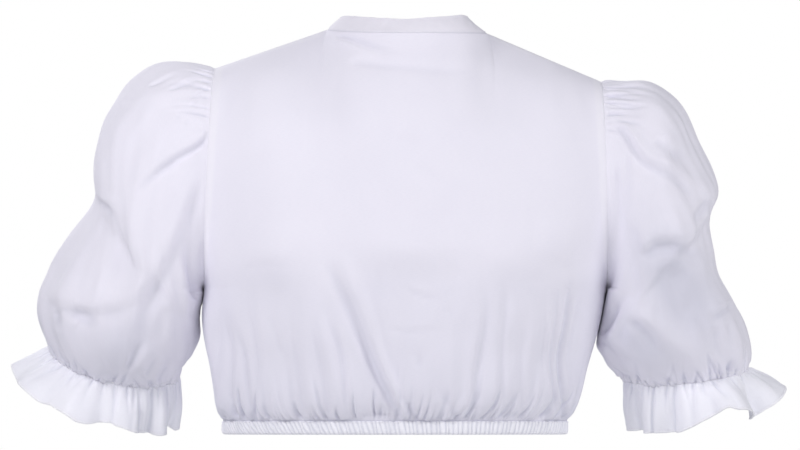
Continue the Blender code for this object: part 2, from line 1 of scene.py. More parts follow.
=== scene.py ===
"""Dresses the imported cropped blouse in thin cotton: folds, gathers, frills and sewing over its solids.

Frame: +X is the wearer's left, -Y the front, +Z up. The origin lies midway between the two neck points.
Sizes and tables are in millimetres and angles in degrees, and MM turns them into Blender's metres.
"""

import logging
import math
from dataclasses import dataclass, field
from enum import Enum
from typing import NamedTuple, Sequence

import bmesh
import bpy
import numpy as np
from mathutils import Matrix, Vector


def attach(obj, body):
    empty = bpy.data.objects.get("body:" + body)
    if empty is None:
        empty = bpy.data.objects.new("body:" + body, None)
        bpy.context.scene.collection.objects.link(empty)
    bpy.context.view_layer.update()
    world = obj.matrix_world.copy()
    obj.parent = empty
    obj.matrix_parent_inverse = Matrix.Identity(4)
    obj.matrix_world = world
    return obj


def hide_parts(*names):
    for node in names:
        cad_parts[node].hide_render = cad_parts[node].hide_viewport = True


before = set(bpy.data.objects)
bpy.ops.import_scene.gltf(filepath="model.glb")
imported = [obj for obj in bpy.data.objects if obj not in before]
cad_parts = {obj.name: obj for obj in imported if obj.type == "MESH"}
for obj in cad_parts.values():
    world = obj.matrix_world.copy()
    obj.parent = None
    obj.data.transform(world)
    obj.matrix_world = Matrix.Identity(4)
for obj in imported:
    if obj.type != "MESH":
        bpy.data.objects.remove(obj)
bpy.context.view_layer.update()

MM = 0.001
HALF_GAP = 0.15  # half of what parts two pieces at a seam
Array = np.ndarray
log = logging.getLogger("blouse")


class Facing(Enum):
    """Which side of the blouse a piece covers."""

    BACK = 1
    FRONT = -1


class Hand(Enum):
    """A side of the wearer's body."""

    LEFT = 1
    RIGHT = -1

    @property
    def word(self) -> str:
        """The side's name as it stands in node names."""
        return self.name.lower()


class Section(NamedTuple):
    """The torso's left and right side seams at one height."""

    height: float
    left: float
    right: float


class Depth(NamedTuple):
    """How far the torso reaches to the back and the front at one height."""

    height: float
    back: float
    front: float


class Point(NamedTuple):
    """A point of the front view."""

    x: float
    z: float


class Stand(NamedTuple):
    """The collar's height and lean at an angle of the neckline: 0 at the centre back, 180 in front."""

    angle: float
    height: float
    lean: float


class Ring(NamedTuple):
    """A sleeve's ring from its outer to its inner point. Tilt lowers the ring's back edge."""

    out_x: float
    out_z: float
    in_x: float
    in_z: float
    depth: float
    middle_y: float
    tilt: float


class Wave(NamedTuple):
    """How far a frill flares from the sleeve's axis at an angle round the cuff: 0 outside, 90 at the back."""

    angle: float
    flare: float


class Flute(NamedTuple):
    """A fine ridge down a frill, or a trough where height is negative, at an angle round the cuff."""

    angle: float
    width: float
    height: float


class Crease(NamedTuple):
    """A trough along a path of the front view, or a ridge where depth is negative.

    lip is the height of the soft ridge beside it, as a share of its depth. It lies towards -X of a steep
    crease and above a level one, or on the other side where lip is negative. Where spread isn't 0, the cloth
    hangs over on that side and stays lifted about that far from the crease.
    """

    path: tuple[tuple[float, float], ...]
    width: float
    depth: float
    lip: float = 0.3
    spread: float = 0.0


class Hump(NamedTuple):
    """A smooth rise over a stretch of a line, or a dip where height is negative."""

    middle: float
    width: float
    height: float = 1.0

    def at(self, value: Array) -> Array:
        """Its height at places of the line."""
        return self.height * np.exp(-(((value - self.middle) / self.width) ** 2))


class Lift(NamedTuple):
    """How far a frill's free edge rises at a place across the blouse."""

    x: float
    rise: float


class Pleats(NamedTuple):
    """One set of small pleats: the distance between them, their depth and their mean length."""

    spacing: float
    height: float
    reach: float


class Blob(NamedTuple):
    """A soft oval of painted shade in the front view, lying along a direction."""

    middle: Point
    way: Point
    length: float
    width: float
    depth: float

    def at(self, x: Array, z: Array) -> Array:
        """Its depth at points of the front view."""
        along = (x - self.middle.x) * self.way.x + (z - self.middle.z) * self.way.z
        beside = (x - self.middle.x) * self.way.z - (z - self.middle.z) * self.way.x
        return self.depth * np.exp(-((along / self.length) ** 2) - (beside / self.width) ** 2)


class Contact(NamedTuple):
    """Where a sleeve lies in towards the body: fully from full down to open_from, and no more at open_to."""

    full: float
    open_from: float
    open_to: float


class Lamp(NamedTuple):
    """A square soft light: its place and size in metres, its power in watts and its colour."""

    name: str
    place: tuple[float, float, float]
    size: float
    power: float
    colour: tuple[float, float, float]


TORSO = (
    Section(-368, 170, -155),
    Section(-362, 175, -161),
    Section(-354, 178, -165.5),
    Section(-341, 180.5, -170.5),
    Section(-322, 184.5, -176),
    Section(-298, 189, -182.5),
    Section(-270, 191, -188),
    Section(-241, 188.5, -193),
)
TORSO_DEPTH = (
    Depth(-368, 98, 100),
    Depth(-362, 104, 106),
    Depth(-354, 109, 112),
    Depth(-341, 113.5, 118),
    Depth(-322, 116.5, 124),
    Depth(-298, 118, 129),
    Depth(-270, 117.5, 132.5),
    Depth(-241, 116, 134),
    Depth(-200, 113, 133.5),
    Depth(-160, 109, 129),
    Depth(-120, 103.5, 119),
    Depth(-80, 95.5, 103),
    Depth(-40, 84, 86),
    Depth(5, 70, 74),
)
COLLAR = {
    Hand.LEFT: (Stand(0, 20, 43), Stand(60, 21, 42), Stand(90, 20.5, 43), Stand(180, 20, 43)),
    Hand.RIGHT: (
        Stand(0, 20, 43), Stand(45, 22.5, 36), Stand(65, 25, 40), Stand(90, 24, 52), Stand(180, 20, 43),
    ),
}
SLEEVE_RINGS = {
    Hand.LEFT: (
        Ring(179, -34, 188.5, -241, 61, 0, 0),
        Ring(202, -29, 191, -247, 67, 0, 0),
        Ring(231, -30, 192, -252, 73, 0, 0),
        Ring(250.5, -38.5, 192.5, -256, 78, -1, 0),
        Ring(270.5, -60, 193, -260, 81, -2, 1),
        Ring(285, -85, 193, -264, 82, -4, 2),
        Ring(292.5, -112, 193, -268, 82, -6, 4),
        Ring(295, -140, 193.5, -272, 81, -9, 6),
        Ring(295, -159, 193.5, -276, 79, -12, 8),
        Ring(312.5, -186, 193.5, -280, 80, -16, 10),
        Ring(331.5, -215, 193.5, -286, 80, -21, 13),
        Ring(345, -244, 195.5, -293, 79, -27, 16),
        Ring(348, -265, 200, -301, 75, -32, 18),
        Ring(344.5, -285, 206, -312, 65, -37, 21),
        Ring(337.5, -303, 214.5, -328, 46, -41, 23),
    ),
    Hand.RIGHT: (
        Ring(-188, -46.5, -194, -241, 61, 0, 0),
        Ring(-208, -46, -195.5, -247, 67, 0, 0),
        Ring(-231, -47, -194.5, -252, 73, 0, 0),
        Ring(-251, -57, -193, -256, 77, -1, 0),
        Ring(-266, -74, -192, -260, 80, -2, 1),
        Ring(-275.5, -94, -191, -264, 81, -4, 2),
        Ring(-285, -115, -190.5, -268, 81, -5, 3),
        Ring(-295.5, -138, -189.5, -272, 81, -7, 4),
        Ring(-297, -157, -188.5, -276, 80, -9, 5),
        Ring(-290, -175, -187.5, -280, 79, -12, 6),
        Ring(-295, -197, -186.5, -285, 80, -15, 6),
        Ring(-301, -225, -185.5, -291, 80, -18, 7),
        Ring(-314, -254, -185, -298, 78, -22, 7),
        Ring(-325.5, -278, -190, -306, 74, -26, 8),
        Ring(-331, -301, -199, -318, 64, -29, 8),
        Ring(-330, -321, -212, -332, 46, -31, 8),
    ),
}
FRILL_WAVES = {
    Hand.LEFT: (
        Wave(0, 54), Wave(16, 46), Wave(34, 52), Wave(52, 38), Wave(68, 42), Wave(86, 12),
        Wave(104, 22), Wave(122, -2), Wave(140, 8), Wave(158, -8), Wave(176, 4), Wave(196, -8),
        Wave(216, 12), Wave(234, 0), Wave(252, 22), Wave(270, 6), Wave(288, 32), Wave(306, 22),
        Wave(324, 48), Wave(342, 44),
    ),
    Hand.RIGHT: (
        Wave(2, 54), Wave(16, 46), Wave(32, 10), Wave(46, 34), Wave(62, 56), Wave(78, 38),
        Wave(92, 28), Wave(108, 0), Wave(126, 8), Wave(144, -8), Wave(162, 2), Wave(180, -12),
        Wave(198, 2), Wave(216, -4), Wave(234, 20), Wave(252, 8), Wave(270, 34), Wave(288, 36),
        Wave(306, 54), Wave(324, 36), Wave(344, 56),
    ),
}

BACK_CREASES = (
    Crease(((54, -31), (28, -33), (-29, -38), (-63, -39), (-94, -40)), 5.5, 1.3, 0.3),
    Crease(((68, -3), (54, -5), (41, -10), (27, -15), (14, -18), (-13, -19)), 3.4, 2.6, -0.5),
    Crease(((11, -99), (-11, -106), (-34, -115)), 6.2, 0.5, 0.2),
    Crease(((-5, -123), (-31, -137), (-57, -152)), 7.4, 0.61, 0.2),
    Crease(((-1.2, -374), (14, -342), (30, -310), (41, -281), (54, -249), (68, -221), (72, -213)),
           5.2, 4.6, 0.8),
    Crease(((-22, -374), (-1, -346), (7, -333)), 3.2, 1.9, -0.3),
    Crease(((51.2, -374), (59, -305), (67, -278), (75, -252)), 3.7, 2.2, 0.3),
    Crease(((66, -374), (80, -304), (88, -257)), 4.1, 1.4, 0.3),
    Crease(((26, -219), (21, -241), (17, -263)), 6.2, 0.66, 0.2),
    Crease(((134.3, -374), (154, -315), (165, -263)), 3.7, 2.5, 0.35),
    Crease(((136.6, -374), (144, -289), (148, -248)), 4.1, 1.6, 0.3),
    Crease(((117, -310), (123, -275), (132, -254)), 5.5, 0.98, 0.3),
    Crease(((90, -374), (103, -306), (106, -262)), 4.6, 1.4, 0.3),
    Crease(((155, -374), (171, -307), (176, -251)), 3.7, 2.2, 0.3),
    Crease(((158, -374), (166, -362), (171, -352)), 2.3, 4.2, 0.2),
    Crease(((149, -374), (157, -361), (162, -349)), 2.2, 3.8, 0.3),
    Crease(((140, -374), (148, -363), (153, -353)), 2.2, 3.2, 0.3),
    Crease(((129, -374), (137, -364), (142, -355)), 2.0, 3.0, 0.3),
    Crease(((-144, -374), (-152, -356), (-158, -338)), 2.4, 3.4, 0.2),
    Crease(((1, -241), (-15, -247), (-28, -250), (-42, -252)), 2.7, 0.77, 0.6),
    Crease(((18, -277), (-5, -281), (-25, -280), (-42, -280)), 2.4, 0.66, 0.5),
    Crease(((-33, -259), (-43, -262), (-52, -265)), 3.8, 0.5, 0.4),
    Crease(((-15, -315), (-15, -295)), 5.5, 0.98, 0.2),
    Crease(((-55.5, -374), (-28, -322)), 3.7, 1.4, 0.3),
    Crease(((-45.6, -374), (-58, -318)), 4.1, 1.2, 0.2),
    Crease(((-58.6, -374), (-76, -289), (-78, -252), (-79, -222)), 4.6, 1.7, 0.3),
    Crease(((-93.3, -374), (-96, -270), (-94, -216)), 4.6, 1.4, -0.3),
    Crease(((-137, -325), (-136, -279), (-136, -240)), 3.8, 1.3, 0.3),
    Crease(((-143.5, -374), (-145, -279), (-145, -222)), 2.9, 2.3, -0.3),
    Crease(((-149.3, -374), (-154, -298), (-156, -252), (-155, -225)), 2.9, 3.7, 0.5),
    Crease(((-110.4, -374), (-115, -298), (-117, -252)), 4.6, 1.2, 0.3),
    Crease(((151, -226), (136, -220), (104, -220), (67, -220)), 3.8, 0.44, 0.6),
    Crease(((-136, -216), (-150, -222), (-161, -227)), 3.8, 0.5, 0.5),
)
FRONT_CREASES = (
    Crease(((-1.2, -374), (-14, -310), (-26, -256)), 4.6, 4.3, 0.4),
    Crease(((26.2, -374), (34, -306), (42, -250)), 4.6, 4, -0.4),
    Crease(((58.8, -374), (72, -300), (86, -236)), 4.6, 4.3, 0.4),
    Crease(((93.8, -374), (106, -310), (120, -262)), 4.1, 3.4, 0.3),
    Crease(((124.4, -374), (138, -316), (148, -274)), 3.7, 3.1, -0.3),
    Crease(((-43.5, -374), (-54, -306), (-64, -244)), 4.6, 4.7, 0.4),
    Crease(((-79.8, -374), (-92, -310), (-106, -256)), 4.1, 3.4, 0.3),
    Crease(((-110.7, -374), (-124, -314), (-136, -268)), 3.7, 3.4, -0.3),
    Crease(((-138, -374), (-148, -314), (-154, -262)), 3.7, 2.8, 0.3),
    Crease(((13.2, -374), (10, -326), (14, -296)), 3.7, 2.2, 0.3),
    Crease(((73.2, -374), (88, -326), (92, -300)), 3.7, 2, 0.3),
    Crease(((-22.3, -374), (-36, -326), (-38, -300)), 3.7, 2.2, 0.3),
    Crease(((-60, -374), (-72, -330), (-80, -304)), 3.7, 2, 0.3),
    Crease(((186, -96), (160, -118), (128, -148), (104, -164)), 8.5, 1.6, 0.3),
    Crease(((-192, -102), (-166, -124), (-134, -152), (-108, -170)), 8.5, 1.6, 0.3),
    Crease(((186, -186), (156, -202), (118, -210), (84, -208)), 8.5, 1.2, 0.4),
    Crease(((-190, -194), (-158, -208), (-122, -214), (-88, -212)), 8.5, 1.1, 0.4),
    Crease(((24, -170), (48, -190), (66, -214)), 11.6, 0.96, 0.3),
    Crease(((-30, -172), (-52, -194), (-70, -220)), 11.6, 0.96, 0.3),
    Crease(((58, -44), (72, -60), (78, -84)), 7.7, 0.96, 0.3),
    Crease(((-66, -46), (-80, -64), (-86, -90)), 7.7, 0.96, 0.3),
)
SLEEVE_CREASES = {
    Hand.LEFT: (
        Crease(((221, -56), (205, -50), (187, -44)), 1.8, 1.6, 0.5),
        Crease(((243, -51), (223, -44), (200, -37)), 2, 1.2, 0.4),
        Crease(((199, -64), (190, -59), (181, -54)), 1.7, 1.2, 0.4),
        Crease(((200, -71), (187, -64)), 1.7, 0.9, 0.4),
        Crease(((213, -80), (203, -83)), 3.6, 0.8, 0.2),
        Crease(((205, -88), (196, -83)), 3.6, 0.7, 0.2),
        Crease(((175, -85), (181, -96), (185, -103), (196, -112), (209, -120), (231, -136), (243, -145),
                (256, -161)), 3.1, 3.7, 0.4),
        Crease(((205, -114), (237, -140), (254, -172)), 12, 2.4, 0.2),
        Crease(((186, -126), (194, -164), (207, -201), (222, -233), (234, -253), (246, -286),
                (260, -315), (270, -331)), 7.4, 2.9, -0.5),
        Crease(((290, -157), (281, -165), (275, -171), (268, -189)), 3.6, 3.7, 0.3),
        Crease(((352, -246), (333, -259), (308, -266), (282, -268), (257, -263), (238, -250),
                (222, -234), (208, -214)), 9, 0.7, 7, 34),
        Crease(((327, -262), (326, -284)), 5.4, 2.2, 0.3),
        Crease(((313, -268), (299, -270), (295, -290)), 5.9, 2.7, 0.4),
        Crease(((261, -322), (251, -303), (240, -286)), 3.6, 2.6, 0.5),
        Crease(((244, -326), (237, -314), (230, -303)), 3.1, 2.1, 0.4),
        Crease(((233, -332), (224, -322), (214, -312)), 3.6, 2.9, 0.4),
        Crease(((203, -170), (201, -215), (206, -256)), 5.4, -1.7, 0),
        Crease(((217, -255), (227, -281), (239, -305)), 6.7, 1.6, -0.3),
        Crease(((194, -256), (197, -240), (200, -220), (200, -198), (197, -174)), 4.2, 5, 0.2),
    ),
    Hand.RIGHT: (
        Crease(((-185, -50), (-208, -50), (-239, -56)), 1.7, 1.4, 0.4),
        Crease(((-186, -55), (-212, -56), (-247, -64)), 1.8, 1.2, 0.4),
        Crease(((-188, -60), (-211, -63), (-234, -69)), 1.8, 1.6, 0.4),
        Crease(((-189, -66), (-208, -71), (-231, -71)), 1.8, 1.6, 0.4),
        Crease(((-190, -73), (-212, -72), (-236, -70)), 1.7, 1.2, 0.4),
        Crease(((-192, -79), (-205, -77), (-221, -81)), 1.7, 1.1, 0.4),
        Crease(((-190, -86), (-206, -97), (-218, -118), (-234, -130), (-253, -139), (-269, -151),
                (-287, -161), (-293, -165)), 4.4, 2.3, 1.2),
        Crease(((-293, -159), (-283, -168), (-277, -178), (-278, -193)), 5.4, 4.5, 0.2),
        Crease(((-234, -102), (-246, -111), (-258, -113)), 5.4, 1.6, 0.3),
        Crease(((-248, -116), (-267, -119)), 5.4, 1.4, 0.3),
        Crease(((-224, -198), (-237, -201), (-252, -204), (-270, -208), (-286, -212)), 7, 1.6, 0.45),
        Crease(((-198, -118), (-200, -159), (-202, -196), (-204, -230)), 4.6, 2.2, -0.4),
        Crease(((-210, -108), (-207, -150), (-206, -210)), 3.6, 1, 0.3),
        Crease(((-222, -214), (-240, -205), (-260, -206), (-278, -216)), 9, 1.6, 3, 24),
        Crease(((-209, -268), (-226, -285), (-237, -304), (-250, -325)), 6.7, 3.6, 0.5),
        Crease(((-188, -279), (-205, -296), (-222, -309), (-235, -320)), 5.4, -2.2, 0),
        Crease(((-186, -288), (-198, -305), (-214, -323)), 3.6, 2.1, 0.2),
        Crease(((-242, -241), (-246, -276), (-259, -301), (-267, -315)), 5.4, -1.4, 0),
        Crease(((-312, -257), (-298, -267), (-287, -270)), 3.6, 2.6, 0.4),
        Crease(((-293, -277), (-298, -299), (-305, -317)), 4.6, 2, 0.3),
        Crease(((-305, -272), (-309, -294), (-311, -313)), 4.6, 1.8, 0.3),
        Crease(((-186, -292), (-194, -272), (-201, -256), (-212, -238)), 5, 6.5, 0.25),
        Crease(((-252, -216), (-260, -246), (-268, -272), (-272, -300)), 15, 5.2, 0.3),
    ),
}
# The left sleeve's shelf fold, below which painted shade darkens the puff
SHELF = (
    Point(196, -200), Point(208, -214), Point(222, -234), Point(238, -250), Point(257, -263),
    Point(282, -268), Point(308, -266), Point(333, -259), Point(352, -246),
)
FLUTES = {
    Hand.LEFT: (
        Flute(97, 3.5, 1.2), Flute(109, 2.8, 1.5), Flute(113.5, 1.8, -1.4), Flute(120, 3, 1.6),
        Flute(127, 2.4, -2.2), Flute(137, 4, 1.6), Flute(146, 2.6, -2.4), Flute(157, 4, 1.8),
        Flute(166, 3, -1.2), Flute(84, 4, -1.2), Flute(66, 5, 1.2), Flute(48, 4, -1.2),
        Flute(30, 5, 1.2), Flute(12, 5, -1), Flute(196, 3, 1.4), Flute(207, 2.6, -1.8),
        Flute(219, 3.2, 1.6), Flute(233, 3, -1.8), Flute(246, 4, 1.4), Flute(261, 3, -1.6),
        Flute(282, 4, 1.4), Flute(300, 3.4, -1.6), Flute(318, 5, 1.2), Flute(338, 4, -1.2),
    ),
    Hand.RIGHT: (
        Flute(95, 3.5, 1.2), Flute(105, 2.2, -1.6), Flute(114, 3.4, 1.5), Flute(123.5, 2, -2.6),
        Flute(133, 4, 1.6), Flute(148, 3, -1.4), Flute(160, 4, 1.4), Flute(84, 3.5, 1.0),
        Flute(76, 3, -1.6), Flute(62, 5, 1.2), Flute(45, 4, -1.2), Flute(22, 5, 1.2),
        Flute(8, 4, -1.2), Flute(176, 3, -1.2), Flute(192, 3.4, 1.4), Flute(206, 2.6, -1.8),
        Flute(221, 3.4, 1.6), Flute(236, 3, -1.6), Flute(252, 4, 1.4), Flute(268, 3, -1.6),
        Flute(286, 4.4, 1.4), Flute(305, 3.6, -1.6), Flute(324, 4, 1.2), Flute(344, 4, -1.2),
    ),
}
FRILL_EDGES = {
    Hand.LEFT: (
        Lift(210, -4), Lift(219, -5), Lift(226, 0), Lift(235, -1), Lift(247, 0), Lift(256, 5),
        Lift(267, 8), Lift(278, 10), Lift(290, 8), Lift(301, 4), Lift(310, 2), Lift(324, 5),
        Lift(335, 8), Lift(347, 4), Lift(362, 3),
    ),
    Hand.RIGHT: (
        Lift(-362, 2), Lift(-345, 4), Lift(-334, 2), Lift(-328, 0), Lift(-322, -1), Lift(-317, 0),
        Lift(-312, 4), Lift(-307, 8), Lift(-300, 9), Lift(-294, 8), Lift(-285, 4.5), Lift(-276, 2),
        Lift(-265, -1), Lift(-230, -1),
    ),
}
FRILL_LENGTHS = {Hand.LEFT: 45.0, Hand.RIGHT: 44.0}

HEAD_PLEATS = (Pleats(5.2, 1.9, 18), Pleats(8.5, 2.1, 34), Pleats(19.0, 2.3, 56))
CUFF_PLEATS = (Pleats(6.6, 3.4, 18), Pleats(10.0, 2.8, 30), Pleats(23.0, 3.4, 54))
FRILL_PLEATS = (Pleats(4.6, 1.8, 10), Pleats(7.5, 2.1, 26), Pleats(13.0, 2.3, 70))

# The torso's fullness and what draws it in, by height
BLOUSING = (Hump(-203, 25, 3.6), Hump(-292, 40, -4.4))
WAIST = Hump(-314, 30, 0.013)  # how much narrower the body is, as a share
# Painted shade in the hem's two corners, and how far up from the hem it reaches
CORNER_SHADE = {Hand.LEFT: 0.8, Hand.RIGHT: 0.6}  # how deep the tone is at the hem's two corners
CORNER = Hump(0, 17)

# Where the sleeves meet the body, and ovals of painted shade where they hang over
CONTACTS = {Hand.LEFT: Contact(-247, -252, -268), Hand.RIGHT: Contact(-243, -283, -296)}
PAINTED_SHADE_BLOBS = {
    Hand.LEFT: (Blob(Point(262, -296), Point(-0.6, 0.8), 34, 15, 0.35),),
    Hand.RIGHT: (
        Blob(Point(-260, -245), Point(-0.53, -0.85), 58, 27, 1.3),
        Blob(Point(-226, -297), Point(-0.7, -0.7), 34, 18, 1.0),
    ),
}

# Rows of stitches, and the furrows they press, by distance from a cuff's or the collar's edge
CUFF_ROWS = (1.6, 5.6)
CUFF_DRAWN_IN = Hump(11, 7, 2.2)
COLLAR_GROOVES = {"top": Hump(2.6, 0.9), "foot": Hump(1.2, 1.3, 2.2)}
COLLAR_DIPS = (Hump(9, 1.4), Hump(25.2, 1.4))  # by place round the neck
CASING_LIP = Hump(0.07, 0.075, 0.9)  # by share of the casing's height

LAMPS = (
    Lamp("broad_light", (-0.3, 3.0, 0.15), 2.2, 16.5, (1.0, 0.972, 0.98)),
    Lamp("side_light", (1.3, 1.2, 0.6), 0.8, 15.2, (1.0, 0.972, 0.98)),
    Lamp("high_light", (0.6, 1.6, 1.2), 1.0, 2.8, (1.0, 0.972, 0.98)),
    Lamp("right_light", (-2.4, 1.2, 0.4), 1.2, 19.0, (1.0, 0.98, 0.975)),
    Lamp("fill_light", (-1.7, 1.5, 1.5), 1.2, 9.5, (1.0, 0.975, 0.97)),
    Lamp("front_light", (0.9, -1.9, 0.9), 1.3, 30.0, (1.0, 0.985, 1.0)),
)


def unit(vectors: Array) -> Array:
    """The vectors at length one."""
    return vectors / np.maximum(np.linalg.norm(vectors, axis=-1, keepdims=True), 1e-12)


def smooth(keys: Sequence[float], values: Sequence[float], at: Array) -> Array:
    """Values on a smooth curve through a table's rows.

    Args:
        keys: The rows' keys, rising.
        values: The rows' values.
        at: Where the curve is read.

    Returns:
        The curve's value at each place.
    """
    keys, values = np.asarray(keys, float), np.asarray(values, float)
    slopes = np.gradient(values, keys)
    i = np.clip(np.searchsorted(keys, at) - 1, 0, len(keys) - 2)
    span = keys[i + 1] - keys[i]
    t = (np.clip(at, keys[0], keys[-1]) - keys[i]) / span
    rise = values[i + 1] - values[i]
    bend_in, bend_out = slopes[i] * span - rise, rise - slopes[i + 1] * span
    return values[i] + t * rise + t * (1 - t) * ((1 - t) * bend_in + t * bend_out)


def spline(rows: Array, at: Array) -> Array:
    """A natural cubic spline through rows that stand at the keys 0, 1, 2 and so on.

    Args:
        rows: The values, one row for each key.
        at: The keys at which it is read.

    Returns:
        One row for each place.
    """
    rows = np.asarray(rows, float)
    count = len(rows)
    flat = rows.reshape(count, -1)
    system = np.eye(count)
    right = np.zeros_like(flat)
    for i in range(1, count - 1):
        system[i, i - 1:i + 2] = (1, 4, 1)
    right[1:-1] = 6 * (flat[:-2] - 2 * flat[1:-1] + flat[2:])
    bends = np.linalg.solve(system, right)
    at = np.asarray(at, float)
    i = np.clip(np.floor(at).astype(int), 0, count - 2)
    t = (at - i)[:, None]
    s = 1 - t
    curve = s * flat[i] + t * flat[i + 1] + ((s**3 - s) * bends[i] + (t**3 - t) * bends[i + 1]) / 6
    return curve.reshape((len(at),) + rows.shape[1:])


def column(table: Sequence[NamedTuple], name: str) -> list[float]:
    """One column of a table."""
    return [getattr(row, name) for row in table]


def fade(value: Array, start: float, end: float) -> Array:
    """1 up to start, 0 from end, and smooth between them."""
    t = np.clip((value - start) / (end - start), 0, 1)
    return 1 - t * t * (3 - 2 * t)


def even_steps(curve: Array, keys: Array, count: int, ends: float = 1.0) -> Array:
    """Keys that cut a curve into steps.

    Args:
        curve: Points along the curve.
        keys: The key of each point.
        count: How many steps.
        ends: The length of the first and last steps as a share of an even step.

    Returns:
        The keys of the steps' ends, one more than there are steps.
    """
    length = run_length(curve)
    share = np.linspace(0, 1, count + 1)
    share = share - (1 - ends) / (2 * math.pi) * np.sin(2 * math.pi * share)
    return np.interp(share * length[-1], length, keys)


def run_length(curve: Array) -> Array:
    """The distance run up to each point of a line, or of each line along a grid's first axis."""
    steps = np.linalg.norm(np.diff(curve, axis=0), axis=-1)
    return np.concatenate([np.zeros((1,) + steps.shape[1:]), np.cumsum(steps, axis=0)])


def at_run(values: Array, run: Array, at: Array) -> Array:
    """Vectors given along a line, read at other distances run."""
    return np.stack([np.interp(at, run, values[:, i]) for i in range(3)], axis=-1)


@dataclass(frozen=True)
class Swell:
    """A smooth uneven field over the cloth, the same in every run.

    Attributes:
        seed: Which field it is.
        length: Its usual distance from crest to crest.
        stretch: How much longer it is along the cloth than across it.
        count: How many plain waves make it up.
    """

    seed: int
    length: float
    stretch: float = 1.0
    count: int = 26

    def at(self, across: Array, along: Array) -> Array:
        """The field's height at places of the cloth, about -1 to 1 for the most part."""
        draw = np.random.default_rng(self.seed)
        turn = draw.uniform(0, math.pi, self.count)
        pace = 2 * math.pi / (self.length * draw.uniform(0.75, 1.6, self.count))
        phase = draw.uniform(0, 2 * math.pi, self.count)
        total = np.zeros(np.broadcast(across, along).shape)
        for i in range(self.count):
            place = np.cos(turn[i]) * across + np.sin(turn[i]) * along / self.stretch
            total += np.sin(pace[i] * place + phase[i])
        return total / math.sqrt(self.count / 2)

    def at_ring(self, around: Array, along: Array) -> Array:
        """The field round a tube, so that it meets itself where the columns close."""
        whole = around[-1]
        blend = np.clip(around / whole, 0, 1)
        ahead = self.at(around, along)
        behind = self.at(around - whole, along)
        mix = np.sqrt((1 - blend) ** 2 + blend**2)
        return ((1 - blend) * ahead + blend * behind) / mix


@dataclass(frozen=True)
class Gathers:
    """Small pleats that start at a seam and run out into the cloth.

    Attributes:
        seed: Which set of uneven places and lengths it draws.
        spacing: Mean distance between pleats at the seam.
        height: Depth of the furrow beside a pleat at the seam.
        reach: Mean length of a pleat.
        lean: How much pleats slant, as a slope.
        opening: How much wider a furrow is at its end than at the seam.
    """

    seed: int
    spacing: float
    height: float
    reach: float
    lean: float = 0.06
    opening: float = 1.0

    def relief(self, across: Array, rise: Array, start: float, end: float, ring: bool = False) -> Array:
        """Height of the pleats over the cloth.

        Args:
            across: Where each column lies along the seam.
            rise: How far each grid point lies from the seam.
            start: Where the seam starts.
            end: Where it ends.
            ring: Whether the seam closes into a ring.

        Returns:
            A height for each grid point, about zero on average.
        """
        draw = np.random.default_rng(self.seed)
        around = end - start
        count = max(3, round(around / self.spacing))
        step = around / count
        centres = start + step * (np.arange(count) + 0.5 + draw.uniform(-0.36, 0.36, count))
        reaches = self.reach * (0.4 + np.minimum(draw.gamma(1.8, 0.36, count), 1.05))
        heights = self.height * draw.uniform(0.6, 1.25, count) * np.clip(reaches / self.reach, 0.45, 1.0)
        leans = draw.normal(0, self.lean, count)
        widths = step * draw.uniform(0.12, 0.21, count)
        across = np.broadcast_to(across, rise.shape)
        total = np.zeros(rise.shape)
        for i in range(count):
            up = np.clip(rise / reaches[i], 0, 1)
            away = across - centres[i] - leans[i] * rise
            if ring:
                away = (away + around / 2) % around - around / 2
            away = away / (widths[i] * (1 + self.opening * up))
            total -= heights[i] * np.exp(-(away**2)) * (1 - up) ** 1.2
        return total + 0.3 * self.height * np.clip(1 - rise / self.reach, 0, 1)


def gathered(seed: int, sets: Sequence[Pleats], shape: tuple[float, float], seam: Array,
             rise: Array) -> Array:
    """Sets of small pleats from a seam that closes into a ring.

    Args:
        seed: The first set's seed.
        sets: The sets of pleats.
        shape: Their lean, and how much a furrow opens towards its end.
        seam: The distance run along the seam, for each column.
        rise: How far each grid point lies from the seam.

    Returns:
        A height for each grid point.
    """
    total = np.zeros(rise.shape)
    for number, pleats in enumerate(sets):
        total += Gathers(seed + number, *pleats, *shape).relief(seam, rise, 0, seam[-1], True)
    return total


def crease_relief(x: Array, z: Array, creases: Sequence[Crease]) -> Array:
    """How far creases press grid points in, negative, or lift them, positive.

    Args:
        x: The points' X.
        z: The points' Z.
        creases: Their paths in the front view.

    Returns:
        A height for each point.
    """
    total = np.zeros(x.shape)
    samples, lip = 140, Hump(1.9, 1.15)
    for crease in creases:
        nodes = np.array(crease.path, float)
        line = spline(nodes, np.linspace(0, len(nodes) - 1, samples))
        reach = 5 * crease.width + 2 * crease.spread
        near = (x > line[:, 0].min() - reach) & (x < line[:, 0].max() + reach)
        near &= (z > line[:, 1].min() - reach) & (z < line[:, 1].max() + reach)
        if not near.any():
            continue
        off_x = x[near][:, None] - line[:, 0]
        off_z = z[near][:, None] - line[:, 1]
        square = off_x**2 + off_z**2
        nearest = square.argmin(axis=1)
        pick = np.arange(len(nearest)), nearest
        way = unit(np.gradient(line, axis=0))
        run = nodes[-1] - nodes[0]
        beside = np.stack([way[:, 1], -way[:, 0]], axis=-1)
        outward = np.array([-1.0, 0.0]) if abs(run[1]) > abs(run[0]) else np.array([0.0, 1.0])
        beside = beside * np.sign(beside @ outward)[:, None]
        side = off_x[pick] * beside[nearest, 0] + off_z[pick] * beside[nearest, 1]
        share = nearest / (samples - 1)
        away = np.sqrt(square[pick]) * np.sign(side) / (crease.width * (0.7 + 0.8 * share))
        if crease.lip < 0:
            away = -away
        taper = fade(1 - share, 0.82, 1.0) * fade(share, 0.45, 1.0)
        if crease.spread:
            tail = np.exp(-((away * crease.width / crease.spread) ** 2))
            beside_it = (1 - np.exp(-(away**2))) * tail * (away > 0)
        else:
            beside_it = lip.at(away)
        trough = -np.exp(-(away**2)) + abs(crease.lip) * beside_it
        total[near] += crease.depth * taper * trough
    return total


